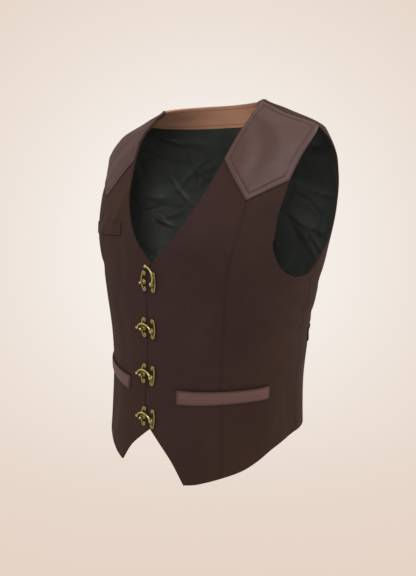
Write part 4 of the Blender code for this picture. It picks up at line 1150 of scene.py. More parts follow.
def nail_rings(place):
    """A dished washer and the domed head of its nail in the eye of a curl."""
    top = CLASP_SEAT + STRIP_DEPTH
    rim = top - NAIL_PLATE_DROP
    washer = [(NAIL_PLATE_RADIUS, CLASP_SEAT), (NAIL_PLATE_RADIUS, rim - NAIL_PLATE_RIM),
              (NAIL_PLATE_RADIUS - NAIL_PLATE_DISH, rim), (NAIL_RADIUS, rim - NAIL_PLATE_DISH)]
    head = dome(NAIL_RADIUS * NAIL_SWELL, top - NAIL_DROP - NAIL_FOOT, NAIL_RISE * NAIL_SWELL, foot=NAIL_FOOT)
    return [(turned(profile, place, NAIL_SIDES), False) for profile in (washer, head)]


def plate_rings(spine, curls, place, foot_radius, link, link_width, turned_parts):
    """A clasp's plate: its scroll, the parts turned round its foot's middle, its foot, link and nails."""
    top = CLASP_SEAT + FOOT_DEPTH
    foot = [(foot_radius, CLASP_SEAT), *((foot_radius - inward, top + rise) for inward, rise in FOOT_RIM)]
    rings = [scroll_rings(spine, curls)]
    rings += [(turned(profile, place, sides), False)
              for profile, sides in (*turned_parts, (foot, FOOT_SIDES))]
    points = [(x, y, CLASP_SEAT + LINK_LIFT) for x, y in link]
    rings.append((tube(points, link_width, LINK_DEPTH, square=STRIP_SQUARE), False))
    for spot in curls:
        rings += nail_rings(spot)
    return rings


def post_plate_rings():
    """The plate with the post, which the hook's arm lies over when latched."""
    low = CLASP_SEAT + FOOT_DEPTH - POST_SINK
    neck = [(radius, base + rise) for base, rows in ((low, POST_LOW), (POST_HEIGHT, POST_HIGH))
            for radius, rise in rows]
    tip = sphere(POST_BALL_RADIUS, POST_HEIGHT + POST_BALL_RADIUS * BALL_SEAT)
    link = ((POST_SPINE, 0.2), (POST_PLACE[0] - 2, 0.1))
    return plate_rings(POST_SPINE, POST_CURLS, POST_PLACE, POST_FOOT_RADIUS, link, POST_LINK_WIDTH,
                       ((neck, POST_SIDES), (tip, POST_BALL_SIDES)))


def pivot_plate_rings():
    """The plate with the pin that the hook's eye turns on."""
    foot_top = CLASP_SEAT + FOOT_DEPTH
    head_low = foot_top + EYE_DEPTH + 2 * PIN_CLEARANCE
    pin = [(PIN_RADIUS, foot_top - PIN_SINK), (PIN_RADIUS, head_low + PIN_SINK)]
    head = [(PIN_HEAD_RADIUS - PIN_HEAD_EDGE, head_low), (PIN_HEAD_RADIUS, head_low + PIN_HEAD_RIM)]
    head += dome(PIN_HEAD_RADIUS, head_low + PIN_HEAD_RIM, PIN_HEAD_DEPTH + PIN_HEAD_EDGE)[1:]
    link = [(x, PIVOT_PLACE[1]) for x in (PIVOT_SPINE, PIVOT_PLACE[0])]
    return plate_rings(PIVOT_SPINE, PIVOT_CURLS, PIVOT_PLACE, PIVOT_FOOT_RADIUS, link, PIVOT_LINK_WIDTH,
                       ((pin, PIN_SIDES), (head, PIN_HEAD_SIDES)))


def hook_line(share):
    """The hook's centre line from its pivot to its ball, an arch over the post: along, above, lift."""
    radius = ((HOOK_CHORD / 2) ** 2 + HOOK_RISE ** 2) / (2 * HOOK_RISE)
    half = 2 * atan2(HOOK_RISE, HOOK_CHORD / 2)
    bend = half * (2 * share - 1)
    lift = HOOK_ROOT_LIFT + (HOOK_TIP_LIFT - HOOK_ROOT_LIFT) * share + HOOK_CREST * sin(pi * share)
    return HOOK_CHORD / 2 + radius * sin(bend), radius * (cos(bend) - cos(half)), lift


def hook_rings():
    """The swing hook as it lies when latched: a ring eye, a tapering arm and a ball at its tip."""
    tilt = Matrix.Rotation(radians(180 - HOOK_TILT), 3, "Z") @ Matrix.Diagonal((1, -1, 1))
    share = HOOK_FIRST + (1 - HOOK_FIRST) * np.linspace(0, 1, HOOK_STEPS)
    points = [tuple(tilt @ Vector(hook_line(s))) for s in share]
    size = 2 * (HOOK_ROOT_RADIUS + (HOOK_TIP_RADIUS - HOOK_ROOT_RADIUS) * share)
    size = size * (1 + HOOK_COLLAR * np.exp(-((share - HOOK_COLLAR_PLACE) / HOOK_COLLAR_WIDTH) ** 2))
    middle = (EYE_RADIUS + PIN_RADIUS + PIN_CLEARANCE) / 2
    bends = np.linspace(0, 2 * pi, EYE_STEPS, endpoint=False)
    eye = [(middle * cos(bend), middle * sin(bend), 0.0) for bend in bends]
    rings = [(tube(eye, EYE_RADIUS - PIN_RADIUS - PIN_CLEARANCE, EYE_DEPTH, square=EYE_SQUARE, closed=True),
              True),
             (tube(points, size, size), False)]
    x, y, lift = points[-1]
    return rings + [(turned(sphere(HOOK_BALL_RADIUS, lift), (x, y), HOOK_BALL_SIDES), False)]


# Finishes

class Value:
    """A shader socket that can be worked with in expressions."""

    def __init__(self, finish, socket):
        self.finish = finish
        self.socket = socket

    def maths(self, job, *values):
        return self.finish.node("ShaderNodeMath", {"operation": job}, dict(enumerate(values)))

    def __add__(self, other):
        return self.maths("ADD", self, other)

    def __radd__(self, other):
        return self.maths("ADD", other, self)

    def __sub__(self, other):
        return self.maths("SUBTRACT", self, other)

    def __rsub__(self, other):
        return self.maths("SUBTRACT", other, self)

    def __mul__(self, other):
        return self.maths("MULTIPLY", self, other)

    def __rmul__(self, other):
        return self.maths("MULTIPLY", other, self)

    def sine(self):
        return self.maths("SINE", self)

    def size(self):
        return self.maths("ABSOLUTE", self)

    def turn_from(self, other):
        return self.maths("ARCTAN2", self, other)

    def within(self, low, high):
        """0 at low and 1 at high, eased at both ends."""
        settings = {"interpolation_type": "SMOOTHSTEP"}
        values = {"Value": self, "From Min": low, "From Max": high}
        return self.finish.node("ShaderNodeMapRange", settings, values)

    def axes(self):
        """The three numbers of a vector."""
        first = self.finish.node("ShaderNodeSeparateXYZ", {}, {0: self})
        return [Value(self.finish, socket) for socket in first.socket.node.outputs]

    def stretched(self, x, y, z):
        """A vector with its axes scaled."""
        return self.finish.node("ShaderNodeVectorMath", {"operation": "MULTIPLY"}, {0: self, 1: (x, y, z)})


class Finish:
    """A material's nodes."""

    def __init__(self, name):
        self.material = bpy.data.materials.new(name)
        self.material.use_nodes = True
        self.tree = self.material.node_tree
        self.tree.nodes.clear()

    def node(self, kind, settings=None, values=None, output=0):
        """A node with its settings, then the values or links of its sockets."""
        made = self.tree.nodes.new(kind)
        for key, value in (settings or {}).items():
            setattr(made, key, value)
        for key, value in (values or {}).items():
            if isinstance(value, Value):
                self.tree.links.new(value.socket, made.inputs[key])
            else:
                made.inputs[key].default_value = value
        return Value(self, made.outputs[output])

    def place(self):
        """Where a point of the piece is, in metres."""
        return self.node("ShaderNodeTexCoord", output=3)

    def cloth_place(self):
        """How far round the form and how high a point lies, in metres of cloth."""
        x, y, z = self.place().axes()
        return x.turn_from(y * -1) * (GIRTH * MM), z

    def noise(self, place, scale, detail=2.0, roughness=0.5):
        values = {"Vector": place, "Scale": scale, "Detail": detail, "Roughness": roughness}
        return self.node("ShaderNodeTexNoise", {}, values)

    def cells(self, place, scale, feature="F1"):
        """The distance to the nearest of scattered points, or to the edge between their cells."""
        return self.node("ShaderNodeTexVoronoi", {"feature": feature}, {"Vector": place, "Scale": scale})

    def warped(self, place, scale, reach):
        """The place moved about by a noise."""
        drift = self.node("ShaderNodeTexNoise", {}, {"Vector": place, "Scale": scale}, output=1)
        return self.node("ShaderNodeVectorMath", {"operation": "MULTIPLY_ADD"},
                         {0: drift, 1: (reach, reach, reach), 2: place})

    def mix(self, share, first, second, blend="MIX"):
        """From the first colour to the second."""
        values = {0: share, 6: first, 7: second}
        return self.node("ShaderNodeMix", {"data_type": "RGBA", "blend_type": blend}, values, output=2)

    def mark(self, name):
        """A mark that the mesh gives each point, from 0 to 1: its painted shade, and on metal how rubbed and
        how unshaded it is.
        """
        return self.node("ShaderNodeAttribute", {"attribute_name": name}, output=2)

    def bump(self, height, strength, distance, under=None):
        values = {"Height": height, "Strength": strength, "Distance": distance}
        if under:
            values["Normal"] = under
        return self.node("ShaderNodeBump", {}, values)

    def shader(self, **values):
        named = {key.replace("_", " "): value for key, value in values.items()}
        surface = self.node("ShaderNodeBsdfPrincipled", {}, named)
        made = self.tree.nodes.new("ShaderNodeOutputMaterial")
        self.tree.links.new(surface.socket, made.inputs["Surface"])
        return self.material


def shade(colour, factor=1.0):
    """A colour made lighter or darker."""
    return (*(min(1.0, part * factor) for part in colour), 1.0)


def twill_finish():
    """Dark suiting twill: fine slanting ribs, faint slubs and a dull bloom, with painted shading toward its
    sides and painted shade where the mesh marks it.
    """
    finish = Finish("dark_twill")
    colour = vest_settings().twill_colour
    round_form, up = finish.cloth_place()
    place = finish.place()
    ribs = ((round_form + up * 1.35) * (2 * pi / TWILL_PITCH)).sine()
    yarns = (round_form * (2 * pi / (TWILL_PITCH * 0.8))).sine()
    patches = finish.noise(place, 9, 3, 0.55)
    slubs = finish.noise(place.stretched(1, 1, 0.18), 420, 2, 0.6)
    shift = (patches - 0.5) * 1.1 + (slubs - 0.5) * 0.5 + 0.5
    # Painted shading: away from the front the twill turns to its browner side colour, which stands for how
    # the light falls there
    from_front = (round_form - 0.06).size() * 5.5 + (up + 0.27).size() * 2.6
    painted_side_shading = (from_front + (patches - 0.5) * 0.8).within(0.35, 1.25)
    tone = finish.mix(painted_side_shading, shade(colour, 1.04), shade(vest_settings().twill_shaded_side))
    light = finish.mix(shift, (0.74, 0.74, 0.74, 1.0), (1.28, 1.28, 1.28, 1.0))
    cloth = finish.mix(1.0, tone, light, "MULTIPLY")
    # Painted shade: the twill is darkened where the mesh marks shade, at seams, edges and round the clasps
    base = finish.mix(finish.mark("stain") * 0.62, cloth, shade(colour, 0.2))
    height = ribs * 0.5 + yarns * 0.2 + slubs * 0.6
    soft = finish.bump(finish.noise(place, 26, 3, 0.5), 0.28, 0.006)
    normal = finish.bump(height, 0.3, 0.0002, soft)
    rough = 0.8 + (slubs - 0.5) * 0.16
    return finish.shader(Base_Color=base, Roughness=rough, Normal=normal, Specular_IOR_Level=0.18,
                         Sheen_Weight=0.22, Sheen_Roughness=0.55, Sheen_Tint=shade(colour, 6))


def leather_finish(name, colour, gloss, spread):
    """Smooth cowhide: a fine pebbled grain, short pores, patches where it is rubbed."""
    finish = Finish(name)
    place = finish.place()
    warped = finish.warped(place, 300, 0.0012)
    pebbles = finish.cells(warped, 900)
    grain = finish.cells(warped, 420)
    patches = finish.noise(place, 14, 4, 0.6)
    rubbed = finish.noise(place, 55, 3, 0.6)
    shift = (patches - 0.5) * spread + (pebbles - 0.4) * -0.25 + 0.5
    hide = finish.mix(shift, shade(colour, 0.78), shade(colour, 1.25))
    # Painted shade: the leather is darkened where the mesh marks shade, along its edges and stitching
    base = finish.mix(finish.mark("stain") * 0.8, hide, shade(colour, 0.2))
    height = 1 - grain * 0.7 - pebbles * 0.5
    soft = finish.bump(finish.noise(place, 34, 2, 0.5), 0.3, 0.004)
    normal = finish.bump(height, 0.22, 0.00025, soft)
    rough = gloss + (rubbed - 0.5) * 0.22 + (pebbles - 0.4) * 0.1
    return finish.shader(Base_Color=base, Roughness=rough, Normal=normal, Specular_IOR_Level=0.42)


def satin_finish():
    """Lining satin: dark, with long floats that catch the light, and painted shade along its creases."""
    finish = Finish("lining_satin")
    colour = vest_settings().lining_colour
    round_form, up = finish.cloth_place()
    place = finish.place()
    floats = finish.noise(place.stretched(1, 1, 0.05), 900, 2, 0.5)
    folds = finish.cells(finish.warped(place, 14, 0.05), 9, "DISTANCE_TO_EDGE")
    creases = (1 - folds.within(0.0, 0.06)) * finish.noise(place, 12, 2, 0.5).within(0.4, 0.62)
    patches = finish.noise(place, 13, 4, 0.6)
    shift = (patches - 0.5) * 1.5 + (floats - 0.5) * 0.5 + 0.5
    cloth = finish.mix(shift, shade(colour, 0.6), shade(colour, 1.45))
    # Painted shade: the satin is darkened along its crease lines
    base = finish.mix(creases * 0.5, cloth, shade(colour, 0.25))
    ribs = (up * (2 * pi / SATIN_PITCH)).sine()
    soft = finish.bump(creases * -1, 0.35, 0.0025, finish.bump(finish.noise(place, 24, 3, 0.5), 0.35, 0.006))
    normal = finish.bump(floats + ribs * 0.1, 0.1, 0.0002, soft)
    rough = 0.54 + (patches - 0.5) * 0.16 + (floats - 0.5) * 0.12
    return finish.shader(Base_Color=base, Roughness=rough, Normal=normal, Specular_IOR_Level=0.27,
                         Sheen_Weight=0.12, Sheen_Roughness=0.4, Sheen_Tint=shade(colour, 5))


def thread_finish():
    """Waxed sewing thread with its twist."""
    finish = Finish("sewing_thread")
    colour = vest_settings().thread_colour
    place = finish.place()
    x, y, z = place.axes()
    twist = ((x + y + z) * (2 * pi / TWIST_PITCH)).sine()
    worn = finish.noise(place, 60, 2, 0.5)
    base = finish.mix((worn - 0.5) * 1.2 + twist * 0.12 + 0.5, shade(colour, 0.7), shade(colour, 1.35))
    normal = finish.bump(twist, 0.4, 0.0001)
    return finish.shader(Base_Color=base, Roughness=0.55 + worn * 0.2, Normal=normal, Specular_IOR_Level=0.3)


def brass_finish():
    """Antique brass: bright where hands rub it, brown in its hollows, with painted shade where the cloth and
    the metal itself shade it, finely scratched.
    """
    finish = Finish("antique_brass")
    colour = clasp_settings().brass_colour
    place = finish.place()
    worn = finish.mark("worn")
    blotches = finish.noise(place, 330, 4, 0.65)
    scratches = finish.noise(place.stretched(0.2, 1, 1), 2200, 3, 0.6)
    # Partly real wear and patina, partly painted shade: the worn mark is low where the cloth and the metal
    # shade a point
    wear_and_shade = (worn + (blotches - 0.5) * 0.4).within(0.45, 1.1)
    base = finish.mix(wear_and_shade, shade(clasp_settings().patina_colour), shade(colour))
    rough = 0.52 - wear_and_shade * 0.24 + (scratches - 0.5) * 0.2
    normal = finish.bump(blotches + scratches * 0.5, 0.35, 0.0002)
    return finish.shader(Base_Color=base, Roughness=rough, Metallic=0.6 + wear_and_shade * 0.4, Normal=normal)


def backdrop_finish():
    """Painted cream paper that glows of its own, a painted pool of light lightest straight behind the vest.
    """
    finish = Finish("backdrop_paper")
    look = stage_settings()
    spot = tuple(-part * BOWL_RADIUS for part in CAMERA_BACK)
    from_spot = finish.node("ShaderNodeVectorMath", {"operation": "DISTANCE"},
                            {0: finish.place(), 1: spot}, output=1)
    fibres = finish.noise(finish.place(), 900, 2, 0.5)
    # Painted light: the backdrop's own glow, lightest straight behind the vest and fading toward its edges
    fade = (from_spot + (fibres - 0.5) * 0.02).within(0.0, GLOW_RADIUS)
    base = finish.mix(fade, shade(look.glow_centre_colour), shade(look.glow_edge_colour))
    paper = finish.mix(fade, (0.03, 0.03, 0.03, 1.0), (0.03, 0.028, 0.026, 1.0))
    return finish.shader(Base_Color=paper, Roughness=0.9, Emission_Color=base,
                         Emission_Strength=look.glow, Specular_IOR_Level=0.0)


# Settings a user would change, and one operator for each piece or group of like pieces

Colour = partial(bpy.props.FloatVectorProperty, subtype="COLOR", size=3, min=0, max=1)


class VestSettings(bpy.types.PropertyGroup):
    """Cloth, leather and thread."""
    twill_colour: Colour(
        name="Twill", description="Colour of the shell's twill", default=(0.036, 0.0175, 0.0172))
    # Painted shading: the twill's colour toward the sides, where the light falls differently
    twill_shaded_side: Colour(
        name="Twill, sides", description="Colour of the twill away from the front",
        default=(0.0375, 0.0188, 0.0125))
    yoke_colour: Colour(
        name="Yoke leather", description="Colour of the shoulder yokes and, made lighter, the hip welts",
        default=(0.082, 0.0385, 0.0335))
    band_colour: Colour(
        name="Neck leather", description="Colour of the band inside the back of the neck",
        default=(0.54, 0.275, 0.170))
    lining_colour: Colour(
        name="Lining", description="Colour of the satin lining", default=(0.033, 0.0385, 0.0365))
    thread_colour: Colour(
        name="Thread", description="Colour of the topstitching", default=(0.040, 0.021, 0.018))
    crease_strength: bpy.props.FloatProperty(
        name="Creases", description="How deep the soft creases of the cloth are", subtype="FACTOR",
        min=0, max=1.5, default=1.3)


class ClaspSettings(bpy.types.PropertyGroup):
    """The four swing clasps and the cinch slide."""
    brass_colour: Colour(
        name="Brass", description="Colour of the rubbed brass", default=(0.66, 0.545, 0.18))
    patina_colour: Colour(
        name="Patina", description="Colour of the brass in its hollows", default=(0.014, 0.011, 0.005))


class StageSettings(bpy.types.PropertyGroup):
    """The backdrop, the lights and the camera."""
    # Painted light: the colours of the backdrop's own glow, behind the vest and away from it
    glow_centre_colour: Colour(
        name="Backdrop middle", description="Colour of the backdrop behind the vest",
        default=(0.925, 0.890, 0.850))
    glow_edge_colour: Colour(
        name="Backdrop edge", description="Colour of the backdrop away from the vest",
        default=(0.76, 0.63, 0.545))
    glow: bpy.props.FloatProperty(
        name="Backdrop light", description="How much light the backdrop gives of its own", min=0,
        max=2, default=1.0)
    key_power: bpy.props.FloatProperty(
        name="Key light", description="Power of the large light above the wearer's left front",
        subtype="POWER", min=0, max=500, default=9.0)
    lens: bpy.props.FloatProperty(
        name="Lens", description="Focal length of the camera", subtype="DISTANCE_CAMERA",
        min=10, max=200, default=34.125)


def vest_settings():
    return bpy.context.scene.vest_cloth


def clasp_settings():
    return bpy.context.scene.vest_clasps


def stage_settings():
    return bpy.context.scene.vest_stage


def finish_of(make, *values):
    """A finish that several pieces share, made the first time that it is asked for."""
    key = "_".join([make.__name__, *(str(value) for value in values[:1])])
    found = MADE_FINISHES.get(key)
    if not found:
        found = make(*values)
        MADE_FINISHES[key] = found
    return found


def yoke_leather():
    return finish_of(leather_finish, "yoke_leather", vest_settings().yoke_colour, 0.56, 0.6)


def welt_leather():
    colour = shade(vest_settings().yoke_colour, WELT_LIGHTER)[:3]
    return finish_of(leather_finish, "welt_leather", colour, 0.5, 0.5)


def band_leather():
    return finish_of(leather_finish, "band_leather", vest_settings().band_colour, 0.55, 0.9)


def within_outline(spot, outline):
    """Whether a spot of the form lies within a closed outline, both as angles and heights."""
    inside = False
    for first, second in zip(outline, np.roll(outline, -1, axis=0)):
        if (first[1] > spot[1]) != (second[1] > spot[1]):
            share = (spot[1] - first[1]) / (second[1] - first[1])
            if spot[0] < first[0] + (second[0] - first[0]) * share:
                inside = not inside
    return inside


def yoke_face(parts, low):
    """The parts of a yoke with its face shaped: pressed at its edge and along its stitching, with painted
    shade along both.
    """
    skins = [dressed(part.grid, low, part.half) for part in parts]
    centre, side = skins
    edge = np.concatenate([centre[:, 0], centre[0], centre[-1], side[:, -1], side[0], side[-1]])
    shaped = []
    for part, skin in zip(parts, skins):
        gap = spacing_from(skin, edge)
        over = np.interp(gap, *np.transpose(YOKE_FACE)) * MM
        # Painted shade: a dark line along the yoke's edge and another along its row of stitches
        stain = np.exp(-(gap / SHADE_REACH) ** 2)
        stain += STITCH_SHADE * np.exp(-((gap - YOKE_STITCH) / SHADE_REACH) ** 2)
        shaped.append(part._replace(over=over, stain=stain))
    return shaped, edge


class VEST_OT_fronts(bpy.types.Operator):
    """Cuts and seams the twill fronts, a centre and a side panel on each side"""
    bl_idname = "vest.fronts"
    bl_label = "Fronts"

    def execute(self, context):
        for word, half, _ in HALVES:
            panels = zip(("centre", "side"), front_grids(half), front_rules(FINE, True))
            for place, grids, rules in panels:
                node = f"front_{word}_{place}"
                parts = parts_of(grids, rules, half)
                self.shade(parts, place)
                finish_piece(wall(f"{node}_twill", parts, *SHELL_LIFTS), finish_of(twill_finish), node)
        return {"FINISHED"}

    def shade(self, parts, place):
        """Darkens the cloth where the yoke's point and the mouth of the hip welt shade it."""
        under = slice(CENTRE_INNER * FINE, None) if place == "centre" else slice(HIP_WELT_OUTER * FINE + 1)
        for low, high, amount, span in ((CHEST, SHOULDER, YOKE_SHADE, slice(None)),
                                        (HIP_WELT, WAIST, WELT_SHADE, under)):
            parts[low].stain[-1, span] += amount
            parts[high].stain[0, span] += amount


class VEST_OT_back(bpy.types.Operator):
    """Cuts the twill back, in one piece"""
    bl_idname = "vest.back"
    bl_label = "Back"

    def execute(self, context):
        parts = []
        for _, half, arm in HALVES:
            parts += parts_of(back_grids(arm), back_rules(0, BACK_SHOULDER_COLUMNS * FINE + 1), half)
        finish_piece(wall("back_twill", parts, *SHELL_LIFTS), finish_of(twill_finish), "back")
        return {"FINISHED"}


def creased_inside(parts, edges):
    """Parts of the lining with its own creases, which fade toward its edges."""
    result = []
    for part in parts:
        gap = spacing_from(dressed(part.grid, LINING_LIFTS[0], part.half), edges)
        inward = crease_lift(part.half * part.grid[..., 0], part.grid[..., 1], LINING_CREASES)
        ease = np.clip(gap / LINING_FADE, 0, 1)
        inward = np.clip(inward - LINING_SLACK, -LINING_REACH, 0) * ease * ease * (3 - 2 * ease) * MM
        inward = inward * vest_settings().crease_strength
        result.append(part._replace(under=inward, over=inward))
    return result


class VEST_OT_lining(bpy.types.Operator):
    """Cuts the satin lining of the fronts and the back"""
    bl_idname = "vest.lining"
    bl_label = "Lining"

    def execute(self, context):
        for word, half, _ in HALVES:
            centre, side = front_grids(half, LINING_FINE)
            parts = [part for grids, rules in zip((centre, side), front_rules(LINING_FINE, False))
                     for part in parts_of(grids, rules, half, False)]
            lines = [grid[SIDES["left"]] for grid in centre] + [grid[SIDES["right"]] for grid in side]
            lines += [grids[row][SIDES[end]] for row, end in ((HEM, "bottom"), (SHOULDER, "top"))
                      for grids in (centre, side)]
            lines.append(side[WAIST][-1, SIDE_CHEST_COLUMNS * LINING_FINE:])
            self.sew(f"front_{word}", parts, self.laid(lines, half))
        parts = []
        edges = []
        for _, half, arm in HALVES:
            grids = back_grids(arm, LINING_FINE)[:BAND]
            parts += parts_of(grids, back_rules(), half, False)
            lines = [*(grid[SIDES["left"]] for grid in grids), grids[BACK_HEM][0], grids[RIDGE][-1]]
            edges += self.laid(lines, half)
        self.sew("back", parts, edges)
        return {"FINISHED"}

    def laid(self, lines, half):
        """Lines as they lie on the lining's inner face."""
        return [dressed(line, LINING_LIFTS[0], half) for line in lines]

    def sew(self, word, parts, edges):
        """One piece of lining. Every other point of its edges is enough to measure its creases' fade."""
        parts = creased_inside(parts, np.concatenate(edges)[::2])
        mesh = wall(f"lining_{word}_satin", parts, *LINING_LIFTS)
        finish_piece(mesh, finish_of(satin_finish), f"lining_{word}")


class VEST_OT_yokes(bpy.types.Operator):
    """Lays the pointed leather yokes over the shoulders, with their stitching"""
    bl_idname = "vest.yokes"
    bl_label = "Yokes"

    def execute(self, context):
        for word, half, _ in HALVES:
            near, far = (denser(grids[SHOULDER], YOKE_ROWS) for grids in front_grids(half, YOKE_FINE))
            parts = [part for grid, side in ((near, "left"), (far, "right"))
                     for part in parts_of([grid], (("top", -SEAM_LAP, 0, 0), (side, YOKE_TRIM, 0, 0)), half)]
            parts, edge = yoke_face(parts, OVERLAY_LIFTS[1])
            finish_piece(wall(f"yoke_{word}_leather", parts, *OVERLAY_LIFTS), yoke_leather(), f"yoke_{word}")
            lines = [edge_lines((grid, side)) for grid, side in
                     ((near, "left"), (near, "bottom"), (far, "bottom"), (far, "right"))]
            lines.append(edge_lines((near, "top"), (far, "top")))
            outline = chained([near[:, 0][::-1], near[0], far[0], far[:, -1], far[-1][::-1], near[-1][::-1]])

            def clear(spot, edge=edge):
                return np.linalg.norm(edge - spot, axis=1).min() > (YOKE_STITCH - STITCH_SPARE) * MM

            rows = []
            for line, toward in lines:
                inset = inset_line(line, toward, YOKE_STITCH)
                kept = np.array([spot for spot in inset if within_outline(spot, outline)])
                rows.append(stitch_row(kept, half, OVERLAY_LIFTS[1] - YOKE_STITCH_DEPTH * MM, clear))
            stitch_piece(f"yoke_{word}_stitches", rows)
        return {"FINISHED"}


def welt_parts(pieces, half, fullness=1.0):
    """The parts of a welt: crowned along its middle, with a mouth that stands open at its top and painted
    shade along its edges.
    """
    run = sum(grid.shape[1] - 1 for grid in pieces)
    start = 0
    parts = []
    for grid in pieces:
        across = (start + np.arange(grid.shape[1])) / run
        start += grid.shape[1] - 1
        up = np.linspace(0, 1, grid.shape[0])
        open_here = np.clip(np.minimum(across, 1 - across) / WELT_OPENING, 0, 1)[None, :]
        open_here = open_here * open_here * (3 - 2 * open_here)
        gape = fullness * WELT_GAPE * up[:, None] ** 2 * open_here * MM
        round_up = 1 - np.abs(2 * up - 1) ** WELT_FLATNESS
        round_over = np.clip(np.minimum(across, 1 - across) / WELT_ROUNDING, WELT_END_CROWN, 1)
        crown = (fullness * WELT_CROWN * round_up[:, None] * round_over[None, :] - WELT_SEAT) * MM
        from_end = np.minimum(across, 1 - across)[None, :] * WELT_RUN
        from_side = np.minimum(up, 1 - up)[:, None] * WELT_HEIGHT
        # Painted shade: dark lines along the welt's edges, fainter on the breast welt
        stain = np.exp(-(np.minimum(from_end, from_side) / SHADE_REACH) ** 2)
        stain = stain * (1 if fullness == 1 else CHEST_WELT_SHADE)
        parts.append(Part(grid, {}, half, gape, gape + crown, stain))
    return parts


class VEST_OT_welts(bpy.types.Operator):
    """Sews on the hip pocket welts and the small breast welt on the wearer's right"""
    bl_idname = "vest.welts"
    bl_label = "Pocket welts"

    def execute(self, context):
        for word, half, _ in HALVES:
            pieces = self.cut_from(front_grids(half), HIP_WELT, HIP_WELT_OUTER)
            mesh = wall(f"welt_{word}_leather", welt_parts(pieces, half), *OVERLAY_LIFTS)
            finish_piece(mesh, welt_leather(), f"welt_{word}")
            rows = [self.end_row(grid, side, half) for grid, side in zip(pieces, ("left", "right"))]
            stitch_piece(f"welt_{word}_stitches", rows)
        right = HALVES[1][1]
        pieces = self.cut_from(front_grids(right), CHEST_WELT, CHEST_WELT_OUTER)
        mesh = wall("welt_chest_twill", welt_parts(pieces, right, CHEST_WELT_FULLNESS), *OVERLAY_LIFTS)
        finish_piece(mesh, finish_of(twill_finish), "welt_chest")
        return {"FINISHED"}

    def cut_from(self, panels, row, outer):
        """The grids under a welt, on the centre and the side panel."""
        centre, side = panels
        return [centre[row][:, CENTRE_INNER * FINE:], side[row][:, :outer * FINE + 1]]

    def end_row(self, grid, side, half):
        """A row of stitches across an end of a welt."""
        inset = inset_line(*edge_lines((grid, side)), WELT_STITCH)
        return stitch_row(inset[1:-1], half, OVERLAY_LIFTS[1] + (WELT_CROWN - WELT_STITCH_DEPTH) * MM)


class VEST_OT_neck_band(bpy.types.Operator):
    """Lines the back of the neck with a band of tan leather, stitched along its top and its bottom"""
    bl_idname = "vest.neck_band"
    bl_label = "Neck band"

    def execute(self, context):
        parts = []
        rows = []
        rules = (("left", -SEAM_LAP, 0, 0), ("bottom", -SEAM_LAP, 0, 0), ("top", EDGE_HALF_WIDTH, 0, 0))
        for _, half, arm in HALVES:
            grid = back_grids(arm)[BAND]
            parts += parts_of([grid], rules, half, False)
            for side in ("top", "bottom"):
                inset = inset_line(*edge_lines((grid, side)), BAND_STITCH)
                rows.append(stitch_row(inset[2:], half, LINING_LIFTS[0] + BAND_STITCH_DEPTH * MM))
        finish_piece(wall("neck_band_leather", parts, *LINING_LIFTS), band_leather(), "neck_band")
        stitch_piece("neck_band_stitches", rows)
        return {"FINISHED"}


class VEST_OT_edges(bpy.types.Operator):
    """Rolls the edges of the neck, fronts, armholes and hem, and stitches beside the left front edge"""
    bl_idname = "vest.edges"
    bl_label = "Rolled edges"

    def execute(self, context):
        twill = finish_of(twill_finish)
        for word, half, _ in HALVES:
            centre, side = front_grids(half)
            scoop = side[WAIST][:, SIDE_CHEST_COLUMNS * FINE:][:, ::-1]
            front = [(grid, "left") for grid in centre]
            hem = [(centre[HEM], "bottom"), (side[HEM], "bottom")]
            arm = [(scoop, "top"), *((grid, "right") for grid in side[BUST:])]
            for place, slot, inset, places in (("front", "centre", EDGE_HALF_WIDTH - FRONT_PRESS, front),
                                               ("hem", "centre", EDGE_HALF_WIDTH, hem),
                                               ("arm", "side", EDGE_HALF_WIDTH, arm)):
                mesh = rolled_edge(f"{place}_edge_{word}", *edge_lines(*places), half, inset)
                finish_piece(mesh, twill)
        below = [(grid, "left") for grid in front_grids(1)[0][:WAIST + 1]]
        inset = inset_line(*edge_lines(*below), FRONT_STITCH)
        rows = [stitch_row(inset[3:-3], 1, FRONT_STITCH_LIFT * MM)]
        stitch_piece("front_stitches", rows)

        ends = []
        for word, half, arm in HALVES:
            grids = back_grids(arm)
            lines = edge_lines(*((grid, "left") for grid in grids[BLADE:BAND]))
            finish_piece(rolled_edge(f"back_arm_edge_{word}", *lines, half), twill)
            ends.append((edge_lines((grids[BAND], "top")), edge_lines((grids[BACK_HEM], "bottom"))))
        for name, look, left, right in zip(("neck", "hem"), (band_leather(), twill), *ends):
            lines = [np.concatenate([first, self.carried_on(second)]) for first, second in zip(left, right)]
            finish_piece(rolled_edge(f"back_{name}_edge", *lines, 1), look)
        return {"FINISHED"}

    def carried_on(self, line):
        """The wearer's right half of a line over the back, carried on past the centre back."""
        beyond = line[::-1][1:].copy()
        beyond[:, 0] = 360 - beyond[:, 0]
        return beyond


